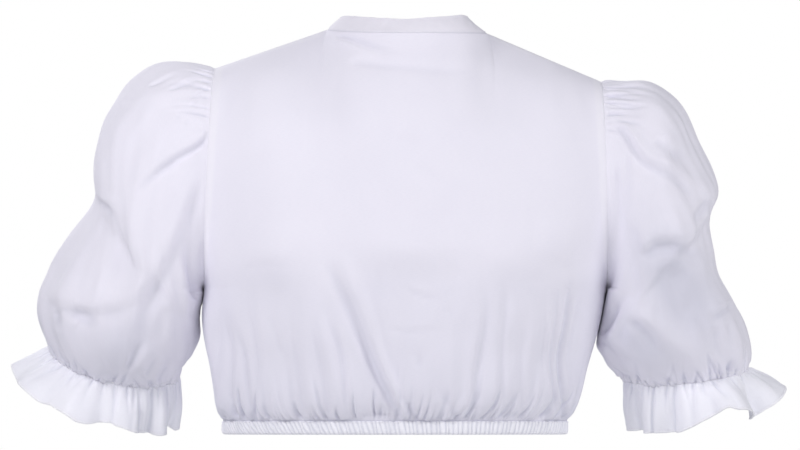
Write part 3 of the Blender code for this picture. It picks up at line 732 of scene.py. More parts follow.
@dataclass
class Patch:
    """One grid of cloth, rows by columns of points, with what is laid over it.

    Attributes:
        points: The grid on the solid's surface.
        across: Each point's place across the cloth.
        along: Each point's place along the cloth.
        relief: How far each point stands out from the grid.
        layers: 0 on a single layer of cloth, 1 where a seam doubles it.
        thickness: The wall's thickness at each point.
        lining: The inner side's points, where it doesn't follow the outer side.
        painted_shade: How much painted shade darkens each point, 1 deep in a furrow and 0 outside, more in
            shaded zones.
    """

    points: Array
    across: Array
    along: Array
    relief: Array
    layers: Array
    thickness: Array
    lining: Array | None = None
    painted_shade: Array | None = None

    def turned(self) -> "Patch":
        """The same patch with its columns in the other order, so that it faces the other way."""
        parts = (self.points, self.across, self.along, self.relief, self.layers, self.thickness)
        lining, painted_shade = (None if part is None else part[:, ::-1] for part in (self.lining, self.painted_shade))
        return Patch(*(part[:, ::-1] for part in parts), lining, painted_shade)


def patch_of(points: Array, thickness: float) -> Patch:
    """A plain patch on a grid of points, with its cloth coordinates measured along the grid."""
    across = run_length(points.transpose(1, 0, 2)).T
    across = np.broadcast_to(across.mean(axis=0), points.shape[:2]).copy()
    blank = np.zeros(points.shape[:2])
    return Patch(points, across, run_length(points), blank, blank.copy(), blank + thickness)


def blurred(values: Array, reach: int, closed: bool) -> Array:
    """A grid's values, each one the mean over reach cells each way. The columns meet where it is closed."""
    for axis in (0, 1):
        mode = "wrap" if closed and axis == 1 else "edge"
        padded = np.pad(values, [(reach + 1, reach) if i == axis else (0, 0) for i in (0, 1)], mode=mode)
        total = np.cumsum(padded, axis=axis)
        size, width = values.shape[axis], 2 * reach + 1
        ahead = np.take(total, range(width, width + size), axis=axis)
        values = (ahead - np.take(total, range(size), axis=axis)) / width
    return values


def furrows(relief: Array, closed: bool = False) -> Array:
    """How deep each point of a grid lies in a furrow of the relief, from 0 to 1."""
    mean = blurred(blurred(relief, 5, closed), 5, closed)
    return np.clip((mean - relief - 0.22) / 1.3, 0, 1)


def lowest(relief: Array) -> Array:
    """The lowest relief within two cells of each point, so that the inner side stays clear of furrows."""
    for axis in (0, 1):
        padded = np.pad(relief, [(2, 2) if i == axis else (0, 0) for i in (0, 1)], mode="edge")
        size = relief.shape[axis]
        relief = np.min([np.take(padded, range(i, i + size), axis=axis) for i in range(5)], axis=0)
    return relief


@dataclass
class Surface:
    """The finished outer side of a patch: its points and normals, as grids."""

    points: Array
    normals: Array


class Shell:
    """A thin closed wall over patches that may share edges, with half as many rows and columns inside."""

    def __init__(self, name: str, patches: list[Patch]) -> None:
        """Joins the patches and lifts their relief.

        Args:
            name: The piece's name.
            patches: Its grids, each with an even number of rows and of columns of cells.
        """
        self.name = name
        self.patches = patches
        points = np.concatenate([patch.points.reshape(-1, 3) for patch in patches])
        keys = np.round(points / 0.01).astype(np.int64)
        _, first, index = np.unique(keys, axis=0, return_index=True, return_inverse=True)
        self.index, self.first = index.ravel(), first
        self.grids = self._numbered()
        self.corners = np.concatenate([self._cells(grid) for grid in self.grids])
        self.quads = self.index[self.corners]
        base = points[first]
        base_normals = self._normals(base)
        self.outer = base + base_normals * self._each("relief")[:, None]
        self.facing = self._normals(self.outer)
        below = np.concatenate([lowest(patch.relief).ravel() for patch in patches])[first]
        self.inner = base + base_normals * (below - self._each("thickness"))[:, None]
        if patches[0].lining is not None:
            self.inner = np.concatenate([patch.lining.reshape(-1, 3) for patch in patches])[first]

    def _each(self, name: str) -> Array:
        """One of the patches' values at each joined point."""
        return np.concatenate([getattr(patch, name).ravel() for patch in self.patches])[self.first]

    def _numbered(self) -> list[Array]:
        """Each patch's own points, numbered in one run, as grids."""
        grids, start = [], 0
        for patch in self.patches:
            grids.append(start + np.arange(patch.relief.size).reshape(patch.relief.shape))
            start += patch.relief.size
        return grids

    @staticmethod
    def _cells(grid: Array) -> Array:
        """The corners of a grid's cells."""
        return np.stack([grid[:-1, :-1], grid[:-1, 1:], grid[1:, 1:], grid[1:, :-1]], axis=-1).reshape(-1, 4)

    def _normals(self, points: Array) -> Array:
        """Unit normals of the joined cells at their points."""
        a, b, c, d = (points[self.quads[:, i]] for i in range(4))
        across = np.cross(c - a, d - b)
        total = np.zeros_like(points)
        for i in range(4):
            for axis in range(3):
                total[:, axis] += np.bincount(self.quads[:, i], across[:, axis], len(points))
        return unit(total)

    def surfaces(self) -> list[Surface]:
        """The finished outer side of each patch."""
        return [Surface(self.outer[self.index[grid]], self.facing[self.index[grid]]) for grid in self.grids]

    def lines(self, rows: Sequence[int]) -> list[tuple[Array, Array]]:
        """The points and normals of some rows of the first patch, to be sewn along."""
        surface = self.surfaces()[0]
        return [(surface.points[row], surface.normals[row]) for row in rows]

    def _rim(self) -> Array:
        """The outer side's points along its free edges, in threes, in the order of its cells' corners."""
        count = len(self.outer)
        ends = np.concatenate([self.quads[:, [i, (i + 1) % 4]] for i in range(4)])
        forward = ends[:, 0] * count + ends[:, 1]
        free = forward[~np.isin(forward, ends[:, 1] * count + ends[:, 0])]
        found = []
        for grid in self.grids:
            for side in (grid[0], grid[:, -1], grid[-1, ::-1], grid[::-1, 0]):
                three = np.stack([side[:-2:2], side[1:-1:2], side[2::2]], axis=1)
                joined = self.index[three]
                found.append(three[np.isin(joined[:, 0] * count + joined[:, 1], free)])
        return np.concatenate(found)

    def build(self, material: bpy.types.Material) -> bpy.types.Object:
        """Makes the wall's object.

        Args:
            material: Its finish.

        Returns:
            The object, with a map of the cloth in metres, and the layers and the painted shade as attributes.
        """
        lined = np.concatenate([self._cells(grid[::2, ::2]) for grid in self.grids])[:, ::-1]
        rim = self._rim()
        used = np.unique(self.index[lined])
        place_of = np.full(len(self.outer), -1)
        place_of[used] = len(self.outer) + np.arange(len(used))
        own = (self.corners, lined, rim[:, [2, 1, 0, 0, 2]])
        joined = (self.quads, place_of[self.index[lined]],
                  np.concatenate([self.index[rim[:, ::-1]], place_of[self.index[rim[:, [0, 2]]]]], axis=1))
        corners = np.concatenate([part.ravel() for part in joined])
        sizes = np.concatenate([np.full(len(part), part.shape[1]) for part in joined])
        points = np.concatenate([self.outer, self.inner[used]]) * MM
        piece = mesh_object(self.name, points, corners, sizes, material)
        place = np.concatenate([np.stack([p.across.ravel(), p.along.ravel()], 1) for p in self.patches]) * MM
        layer = piece.data.uv_layers.new(name="cloth")
        sources = np.concatenate([part.ravel() for part in own])
        layer.data.foreach_set("uv", place[sources].astype(np.float32).ravel())
        blank = [patch.relief * 0 if patch.painted_shade is None else patch.painted_shade for patch in self.patches]
        painted_shade = np.concatenate([part.ravel() for part in blank])[self.first]
        for name, value in (("layers", self._each("layers")), ("painted_shade", painted_shade)):
            attribute = piece.data.attributes.new(name, "FLOAT", "POINT")
            attribute.data.foreach_set("value", np.concatenate([value, value[used]]).astype(np.float32))
        return piece


def mesh_object(name: str, points: Array, corners: Array, sizes: Array,
                material: bpy.types.Material) -> bpy.types.Object:
    """An object of faces.

    Args:
        name: The object's name.
        points: Its points, in metres.
        corners: The faces' corners, one face after the other.
        sizes: How many corners each face has.
        material: Its finish.

    Returns:
        The object, linked to the scene and shaded smooth.
    """
    mesh = bpy.data.meshes.new(name)
    mesh.vertices.add(len(points))
    mesh.vertices.foreach_set("co", points.astype(np.float32).ravel())
    mesh.loops.add(len(corners))
    mesh.loops.foreach_set("vertex_index", corners.astype(np.int32))
    mesh.polygons.add(len(sizes))
    starts = np.concatenate([[0], np.cumsum(sizes)[:-1]])
    mesh.polygons.foreach_set("loop_start", starts.astype(np.int32))
    mesh.polygons.foreach_set("use_smooth", np.ones(len(sizes), bool))
    mesh.update(calc_edges=True)
    mesh.validate()
    mesh.materials.append(material)
    piece = bpy.data.objects.new(name, mesh)
    bpy.context.scene.collection.objects.link(piece)
    return piece


@dataclass(frozen=True)
class Stitching:
    """A row of small machine stitches.

    Attributes:
        length: Length of one stitch that shows.
        pitch: Distance from one stitch to the next.
        radius: The thread's radius.
    """

    length: float = 2.1
    pitch: float = 2.8
    radius: float = 0.2

    def row(self, points: Array, normals: Array) -> tuple[Array, Array]:
        """Stitches along a line on the cloth.

        Args:
            points: The line, as points on the cloth's outer side.
            normals: The cloth's normals there.

        Returns:
            The stitches' points and the corners of their faces.
        """
        run = run_length(points)
        count = max(1, int(run[-1] / self.pitch))
        middles = (np.arange(count) + 0.5) * run[-1] / count
        start, end = (at_run(points, run, middles + side * self.length / 2) for side in (-1, 1))
        normal = unit(at_run(normals, run, middles))
        way = unit(end - start)
        aside = np.cross(normal, way)
        rings = []
        for share, size in ((0.0, 0.35), (0.22, 1.0), (0.78, 1.0), (1.0, 0.35)):
            centre = start + share * (end - start) + normal * self.radius * (0.1 + 0.5 * size)
            for turn in np.arange(5) * 2 * math.pi / 5:
                lift = math.sin(turn) * normal + math.cos(turn) * aside
                rings.append(centre + lift * self.radius * size)
        vertices = np.stack(rings, axis=1)
        ring = np.arange(5)
        around = np.roll(ring, -1)
        cell = np.stack([ring, around, around + 5, ring + 5], axis=1)
        faces = np.concatenate([cell + 5 * j for j in range(3)])
        starts = 20 * np.arange(count)[:, None, None]
        return vertices.reshape(-1, 3), (faces[None] + starts).reshape(-1, 4)

    def build(self, name: str, lines: list[tuple[Array, Array]],
              material: bpy.types.Material) -> bpy.types.Object:
        """One object of all the stitches along several lines."""
        points, faces, start = [], [], 0
        for line, normals in lines:
            stitches, cells = self.row(line, normals)
            points.append(stitches)
            faces.append(cells + start)
            start += len(stitches)
        corners = np.concatenate(faces)
        sizes = np.full(len(corners), 4)
        return mesh_object(name, np.concatenate(points) * MM, corners.ravel(), sizes, material)


def feed(tree: bpy.types.NodeTree, node: bpy.types.Node, inputs: dict) -> None:
    """Sets a node's inputs, each one to a value or to another node's output."""
    for name, value in inputs.items():
        if isinstance(value, bpy.types.NodeSocket):
            tree.links.new(value, node.inputs[name])
        else:
            node.inputs[name].default_value = value


def add_node(tree: bpy.types.NodeTree, kind: str, inputs: dict, **settings: str) -> bpy.types.Node:
    """A new node with its settings and inputs."""
    node = tree.nodes.new(f"ShaderNode{kind}")
    for name, value in settings.items():
        setattr(node, name, value)
    feed(tree, node, inputs)
    return node


def mix_colours(tree: bpy.types.NodeTree, share: bpy.types.NodeSocket, first: Sequence | bpy.types.NodeSocket,
                second: Sequence | bpy.types.NodeSocket, blend: str = "MIX") -> bpy.types.NodeSocket:
    """A mix of two colours, each one a value or another node's output."""
    inputs = {"Factor": share}
    for name, part in (("A", first), ("B", second)):
        inputs[name] = part if isinstance(part, bpy.types.NodeSocket) else (*part, 1)
    return add_node(tree, "Mix", inputs, data_type="RGBA", blend_type=blend).outputs["Result"]


def new_material(name: str) -> tuple[bpy.types.Material, bpy.types.NodeTree, bpy.types.Node]:
    """A new material with its tree and its shader."""
    material = bpy.data.materials.new(name)
    material.use_nodes = True
    return material, material.node_tree, material.node_tree.nodes["Principled BSDF"]


@dataclass(frozen=True)
class CottonFinish:
    """Fine plain-woven cotton.

    Attributes:
        name: The material's name.
        colour: The cloth's own colour.
        mottle: How much the colour drifts over the piece, as a share.
        slub: How much single threads differ, as a share.
        thread: Distance from thread to thread, in millimetres.
        weave: Strength of the weave's relief.
        roughness: How matt it is.
        sheen: How much the fibres catch grazing light.
        painted_shade: The painted shade's darker, bluer tone, towards which furrows and shaded zones turn.
        doubled: The tone towards which doubled cloth turns.
    """

    name: str
    colour: tuple[float, float, float]
    mottle: float = 0.02
    slub: float = 0.03
    thread: float = 0.42
    weave: float = 0.25
    roughness: float = 0.86
    sheen: float = 0.12
    painted_shade: tuple[float, float, float] = (0.48, 0.495, 0.605)
    doubled: tuple[float, float, float] = (0.97, 0.965, 0.985)

    def material(self) -> bpy.types.Material:
        """Builds the material's nodes.

        Returns:
            The material: weave and slubs from the cloth's own map, a brighter tone where seams double it, and
                painted shade in furrows and shaded zones.
        """
        material, tree, shader = new_material(self.name)
        cloth = add_node(tree, "UVMap", {}, uv_map="cloth").outputs["UV"]
        ways = add_node(tree, "SeparateXYZ", {0: cloth}).outputs
        warp, weft = (self._sine(tree, ways[way]) for way in ("X", "Y"))
        weave = add_node(tree, "Math", {0: warp, 1: weft}, operation="MULTIPLY").outputs[0]
        slub = self._noise(tree, cloth, (240.0, 2600.0, 1.0), 2.0)
        drift = self._noise(tree, cloth, (16.0, 16.0, 1.0), 3.0)
        feed(tree, shader, {
            "Base Color": self._colour_with_painted_shade(tree, slub, drift),
            "Normal": self._relief(tree, weave, slub),
            "Roughness": self.roughness,
            "Specular IOR Level": 0.25,
            "Sheen Weight": self.sheen,
            "Sheen Roughness": 0.6,
        })
        return material

    def _sine(self, tree: bpy.types.NodeTree, value: bpy.types.NodeSocket) -> bpy.types.NodeSocket:
        """The threads' rise and fall along one direction of the cloth."""
        pace = math.pi / (self.thread * MM)
        turn = add_node(tree, "Math", {0: value, 1: pace}, operation="MULTIPLY").outputs[0]
        return add_node(tree, "Math", {0: turn}, operation="SINE").outputs[0]

    @staticmethod
    def _noise(tree: bpy.types.NodeTree, place: bpy.types.NodeSocket, pace: tuple[float, float, float],
               detail: float) -> bpy.types.NodeSocket:
        """Noise over the cloth, with its own pace across and along it."""
        scaled = add_node(tree, "Mapping", {"Vector": place, "Scale": pace}).outputs[0]
        return add_node(tree, "TexNoise", {"Vector": scaled, "Scale": 1.0, "Detail": detail}).outputs["Fac"]

    @staticmethod
    def _spread(tree: bpy.types.NodeTree, value: bpy.types.NodeSocket, low: float,
                high: float) -> bpy.types.NodeSocket:
        """Noise between two levels, spread from 0 to 1."""
        return add_node(tree, "MapRange", {"Value": value, "From Min": low, "From Max": high}).outputs[0]

    @staticmethod
    def _darker(share: float) -> list[float]:
        """A colour by which the cloth turns darker, and a little bluer."""
        return [1 - share, 1 - share * 0.95, 1 - share * 0.7]

    def _colour_with_painted_shade(self, tree: bpy.types.NodeTree, slub: bpy.types.NodeSocket,
                         drift: bpy.types.NodeSocket) -> bpy.types.NodeSocket:
        """The cloth's colour: it drifts, threads differ, doubled cloth is brighter, and painted shade darkens
        furrows and shaded zones.
        """
        dark = [c * d for c, d in zip(self.colour, self._darker(self.mottle))]
        colour = mix_colours(tree, self._spread(tree, drift, 0.3, 0.7), dark, self.colour)
        threads = self._spread(tree, slub, 0.35, 0.65)
        colour = mix_colours(tree, threads, colour, self._darker(self.slub), "MULTIPLY")
        # Painted shade: the colour turns towards the darker painted_shade tone where the cloth is marked as
        # shaded
        for name, share, tone in (("layers", 0.35, self.doubled), ("painted_shade", 0.42, self.painted_shade)):
            place = add_node(tree, "Attribute", {}, attribute_name=name).outputs["Fac"]
            amount = add_node(tree, "MapRange", {"Value": place, "To Max": share}).outputs[0]
            colour = mix_colours(tree, amount, colour, tone)
        return colour

    def _relief(self, tree: bpy.types.NodeTree, weave: bpy.types.NodeSocket,
                slub: bpy.types.NodeSocket) -> bpy.types.NodeSocket:
        """The weave's small relief with the slubs on top."""
        inputs = {"Height": weave, "Strength": self.weave, "Distance": 0.00006}
        first = add_node(tree, "Bump", inputs).outputs[0]
        inputs = {"Height": slub, "Strength": 0.5 * self.weave, "Distance": 0.0001, "Normal": first}
        return add_node(tree, "Bump", inputs).outputs[0]


COTTON = (0.862, 0.847, 0.93)
# A darker copy of the cotton for the collar: painted shade
SHADED_COLLAR_COTTON = (0.84, 0.818, 0.9)
# A lighter copy of the cotton for the casing and the frills: painted light
PAINTED_LIGHT_COTTON = (0.928, 0.93, 0.988)
THREAD = (0.9, 0.89, 0.95)


@dataclass(frozen=True)
class ThreadFinish:
    """Sewing thread: two plies twisted together.

    Attributes:
        name: The material's name.
        colour: The thread's colour.
    """

    name: str
    colour: tuple[float, float, float] = THREAD

    def material(self) -> bpy.types.Material:
        """Builds the material's nodes: a slanted ply, lower between its turns, with painted shade there."""
        material, tree, shader = new_material(self.name)
        place = add_node(tree, "TexCoord", {}).outputs["Object"]
        inputs = {"Vector": place, "Scale": 700.0, "Distortion": 2.0}
        ply = add_node(tree, "TexWave", inputs, bands_direction="DIAGONAL").outputs["Fac"]
        relief = add_node(tree, "Bump", {"Height": ply, "Strength": 0.4, "Distance": 0.0001}).outputs[0]
        # Painted shade: the ply is darker between its turns
        tone = mix_colours(tree, ply, [0.9 * c for c in self.colour], self.colour)
        feed(tree, shader, {"Base Color": tone, "Normal": relief, "Roughness": 0.6})
        return material


@dataclass(frozen=True)
class Torso:
    """The form that the front and the back are cut to.

    Attributes:
        power: How square a section is: half of it is a superellipse.
        hem_top: Height of the seam on the hem casing.
        underarm: Height of the underarm point.
        armhole_depth: Half the armhole's width from front to back.
        shoulder: The outer ends of the shoulder seams.
        neck: Their inner ends, the neck points.
        neck_share: How far from the centre line to the side the neck points' column lies.
        neck_depth: How far the neckline reaches back and forward.
        neck_centre: Its height at the centre back and at the throat.
        crown_start: Share of the armhole's height where the panels turn over towards the neck.
        crown_power: How round they turn over.
        hem_rise_most: How much higher the hem is at the centre back.
        hem_rise_top: Height where that ends.
        slit_half_width: Half the slit's width at the throat.
        slit_row: The armhole row that the slit ends on.
        neck_columns: Columns from the centre line to the neck point.
        shoulder_columns: Columns from there to the side.
        armhole_rows: Rows from the underarm to the top.
        ease_passes: How often the grid round the neck points is smoothed.
        ease_reach: How far from them, in cells.
    """

    power: float = 2.4
    hem_top: float = -368.0
    underarm: float = -241.0
    armhole_depth: float = 61.0
    shoulder: dict[Hand, Point] = field(
        default_factory=lambda: {Hand.LEFT: Point(179, -34), Hand.RIGHT: Point(-188, -46.5)})
    neck: dict[Hand, Point] = field(
        default_factory=lambda: {Hand.LEFT: Point(72, 3), Hand.RIGHT: Point(-81, -1)})
    neck_share: float = 0.42
    neck_depth: dict[Facing, float] = field(
        default_factory=lambda: {Facing.BACK: 62.0, Facing.FRONT: 74.0})
    neck_centre: dict[Facing, float] = field(
        default_factory=lambda: {Facing.BACK: -3.0, Facing.FRONT: -62.0})
    crown_start: float = 0.62
    crown_power: float = 1.7
    hem_rise_most: float = 4.5
    hem_rise_top: float = -322.0
    slit_half_width: float = 13.0
    slit_row: int = 4
    neck_columns: int = 9
    shoulder_columns: int = 15
    armhole_rows: int = 9
    ease_passes: int = 14
    ease_reach: float = 3.2

    @property
    def underarm_row(self) -> int:
        """The row at the underarm, counted from the hem."""
        return len(TORSO) - 1

    @property
    def last_row(self) -> int:
        """The row at the neckline and shoulder."""
        return self.underarm_row + self.armhole_rows

    @property
    def last_column(self) -> int:
        """The column at the side, counted from the centre line."""
        return self.neck_columns + self.shoulder_columns

    @property
    def neck_middle(self) -> float:
        """X midway between the neck points."""
        return (self.neck[Hand.LEFT].x + self.neck[Hand.RIGHT].x) / 2

    def centre_x(self, height: Array) -> Array:
        """Where the centre line lies in X."""
        return smooth(column(TORSO, "height"), [(row.left + row.right) / 2 for row in TORSO], height)

    def side_x(self, hand: Hand, height: Array) -> Array:
        """Where a side seam lies in X."""
        return smooth(column(TORSO, "height"), column(TORSO, hand.word), height)

    def depth(self, facing: Facing, height: Array) -> Array:
        """How far the torso reaches from the plane of the side seams."""
        return smooth(column(TORSO_DEPTH, "height"), column(TORSO_DEPTH, facing.name.lower()), height)

    def shares(self, columns: Array) -> tuple[Array, Array]:
        """Shares across and in depth of columns, which count from the centre line."""
        start = math.asin(self.neck_share ** (self.power / 2))
        turn = start + (math.pi / 2 - start) * (columns - self.neck_columns) / self.shoulder_columns
        wide = np.sin(np.clip(turn, 0, math.pi / 2)) ** (2 / self.power)
        across = np.where(columns < self.neck_columns, self.neck_share * columns / self.neck_columns, wide)
        return across, np.clip(1 - across**self.power, 0, 1) ** (1 / self.power)

    def throat(self, facing: Facing) -> float:
        """The neckline's angle at the slit's edge, or at the centre back."""
        half_width = (self.neck[Hand.LEFT].x - self.neck[Hand.RIGHT].x) / 2
        return math.asin(self.slit_half_width / half_width) if facing is Facing.FRONT else 0.0

    def neck_edge(self, facing: Facing, hand: Hand, angles: Array, gap: float = HALF_GAP) -> Array:
        """Points of the neckline seam, half an ellipse from above that dips towards the centre line."""
        point, centre = self.neck[hand], self.neck_middle
        x = centre + hand.value * abs(point.x - centre) * np.sin(angles)
        y = facing.value * (gap + self.neck_depth[facing] * np.cos(angles))
        z = point.z + (self.neck_centre[facing] - point.z) * np.cos(angles)
        return np.stack([x, y, z], axis=-1)

    def collar_stand(self, facing: Facing, hand: Hand, angles: Array, name: str) -> Array:
        """The collar's height or lean at angles of the neckline."""
        from_back = np.degrees(angles if facing is Facing.BACK else math.pi - angles)
        return smooth(column(COLLAR[hand], "angle"), column(COLLAR[hand], name), from_back)

    def collar_way(self, facing: Facing, hand: Hand, angles: Array) -> Array:
        """Unit vectors in which the collar stands on the neckline, square to the seam."""
        edge = self.neck_edge(facing, hand, angles)
        step = 1e-3
        ahead, behind = (self.neck_edge(facing, hand, angles + turn) for turn in (step, -step))
        along = unit(ahead - behind)
        to_middle = unit(np.stack([self.neck_middle - edge[:, 0], -edge[:, 1], np.zeros(len(edge))], axis=-1))
        lean = np.radians(self.collar_stand(facing, hand, angles, "lean"))[:, None]
        way = np.sin(lean) * to_middle + np.cos(lean) * np.array([0, 0, 1])
        return unit(way - (way * along).sum(-1, keepdims=True) * along)

    def hem_rise(self, facing: Facing, height: Array) -> Array:
        """How much higher a section lies at the centre back than at the sides."""
        return self.hem_rise_most * fade(height, self.hem_top, self.hem_rise_top) * (facing is Facing.BACK)

    def top_edge(self, facing: Facing, hand: Hand, columns: Array, across: Array) -> Array:
        """The panel's top edge: the neckline, then the shoulder seam."""
        throat = self.throat(facing)
        angles = throat + (math.pi / 2 - throat) * np.clip(columns / self.neck_columns, 0, 1)
        neck = self.neck_edge(facing, hand, angles)
        share = np.clip((across - self.neck_share) / (1 - self.neck_share), 0, 1)
        start, end = self.neck[hand], self.shoulder[hand]
        seam = np.stack([start.x + share * (end.x - start.x), np.full(len(share), facing.value * HALF_GAP),
                         start.z + share * (end.z - start.z)], axis=-1)
        return np.where((columns < self.neck_columns)[:, None], neck, seam)

    def lower(self, facing: Facing, hand: Hand, heights: Array, across: Array, depth: Array) -> Array:
        """Sections of half a panel below the armhole, one row for each height."""
        heights = heights[:, None]
        middle = self.centre_x(heights)
        x = middle + across * (self.side_x(hand, heights) - middle)
        y = facing.value * (HALF_GAP + self.depth(facing, heights) * depth)
        return np.stack([x, y, heights + self.hem_rise(facing, heights) * depth], axis=-1)

    def upper(self, facing: Facing, hand: Hand, shares: Array, columns: Array) -> Array:
        """Rows of half a panel between the underarm, share 0, and the top edge, share 1."""
        across, depth = self.shares(columns)
        top = self.top_edge(facing, hand, columns, across)
        under = self.lower(facing, hand, np.array([self.underarm]), across, depth)[0]
        share = shares[:, None]
        turn = 0.5 + (self.crown_start - 0.5) * (1 - across**2)
        over = np.clip((share - turn) / (1 - turn), 0, 1)
        round_crown = np.sqrt(1 - over**2)
        z = (1 - share) * under[:, 2] + share * top[:, 2]
        first = self.top_edge(facing, hand, np.zeros(1), np.zeros(1))[0, 0]
        even_top = first + (self.neck[hand].x - first) * np.minimum(across / self.neck_share, 1)
        even_top = np.where(across < self.neck_share, even_top, top[:, 0])
        x = (1 - share) * under[:, 0] + share * even_top + (top[:, 0] - even_top) * (1 - round_crown)
        if facing is Facing.FRONT:
            slit_end = self.row_share(float(self.slit_row))
            opened = np.maximum(0.0, (share - slit_end) / (1 - slit_end))
            x = x + hand.value * self.slit_half_width * (opened - share) * (1 - across) ** 2
        armhole = self.armhole_depth * np.sqrt(1 - (2 * np.minimum(share, 0.5) - 1) ** 2)
        whole = self.depth(facing, z)
        cut = 1 - (armhole / whole) ** self.power
        full = whole * np.clip(1 - cut * across**self.power, 0, 1) ** (1 / self.power)
        at_neck = fade(across, 0.3 * self.neck_share, self.neck_share)
        crown = at_neck * (1 - over**self.crown_power) + (1 - at_neck) * round_crown
        rest = np.abs(top[:, 1]) - HALF_GAP
        y = facing.value * (HALF_GAP + rest + (full - rest) * crown)
        return np.stack([x, y, z], axis=-1)

    def row_share(self, row: float | Array) -> float | Array:
        """The share of the armhole's height at a row, which counts from the underarm."""
        return (1 - np.cos(math.pi * np.asarray(row) / self.armhole_rows)) / 2

    def half(self, facing: Facing, hand: Hand, rows: Array, columns: Array) -> Array:
        """A grid on the left or right half of a panel.

        Args:
            facing: Front or back.
            hand: Left or right half.
            rows: Row numbers, from 0 at the hem to the last row at the top.
            columns: Column numbers, from 0 at the centre line to the last column at the side.

        Returns:
            The grid's points.
        """
        across, depth = self.shares(columns)
        last = self.underarm_row
        heights = np.interp(rows[rows <= last], np.arange(len(TORSO)), column(TORSO, "height"))
        low = self.lower(facing, hand, heights, across, depth)
        high = self.upper(facing, hand, self.row_share(rows[rows > last] - last), columns)
        points = np.concatenate([low, high])
        return points + self._ease(facing, hand, rows, columns)

    def _ease(self, facing: Facing, hand: Hand, rows: Array, columns: Array) -> Array:
        """How far the cloth is eased round the neck point, read from the solid's coarse grid."""
        whole_rows = np.arange(self.last_row + 1, dtype=float)
        whole_columns = np.arange(self.last_column + 1, dtype=float)
        across, depth = self.shares(whole_columns)
        last = self.underarm_row
        low = self.lower(facing, hand, np.array(column(TORSO, "height"), float), across, depth)
        high = self.upper(facing, hand, self.row_share(whole_rows[whole_rows > last] - last), whole_columns)
        grid = np.concatenate([low, high])
        eased = grid.copy()
        down = len(grid) - 1 - np.arange(len(grid))[:, None]
        beside = np.arange(grid.shape[1])[None, :] - self.neck_columns
        share = (0.8 * np.exp(-(down**2 + beside**2) / self.ease_reach**2))[1:-1, 1:-1, None]
        for _ in range(self.ease_passes):
            mean = (eased[:-2, 1:-1] + eased[2:, 1:-1] + eased[1:-1, :-2] + eased[1:-1, 2:]) / 4
            eased[1:-1, 1:-1] += share * (mean - eased[1:-1, 1:-1])
        moved = spline(eased - grid, rows)
        return spline(moved.transpose(1, 0, 2), columns).transpose(1, 0, 2)


FORM = Torso()


def armhole_lift(points: Array, away: Array) -> Array:
    """How far the cloth beside an armhole's seam is eased out in Y, so that it runs on without a ditch.

    Args:
        points: The cloth's points.
        away: Their distance from the seam.

    Returns:
        A move in Y for each point, the same for the panel and the sleeve at the seam.
    """
    most, middle_width, reach = 6.0, 26, 16
    off_middle = 1 - Hump(0, middle_width).at(points[..., 1])
    return most * np.sign(points[..., 1]) * off_middle * np.exp(-away / reach)


def from_inside(angles: Array) -> Array:
    """Degrees round a sleeve from its inner side."""
    return np.abs(np.degrees(angles) - 180)


def sewn(shell: Shell, finish: CottonFinish, lines: list[tuple[Array, Array]], stitching: Stitching,
         node: str, slot: str) -> tuple[bpy.types.Object, bpy.types.Object]:
    """Builds a piece of cloth and its stitches, and fixes both to the blouse.

    Args:
        shell: The cloth's wall.
        finish: Its finish.
        lines: Where the stitches run.
        stitching: What they are like.
        node: The solid that the piece replaces.
        slot: A material slot's name, not used.

    Returns:
        The piece and its stitches.
    """
    name = shell.name.removesuffix("_cloth")
    piece = shell.build(finish.material())
    sewing = stitching.build(f"{name}_stitching", lines, ThreadFinish(f"{name}_thread").material())
    add_piece(piece, node)
    add_piece(sewing, None)
    return piece, sewing


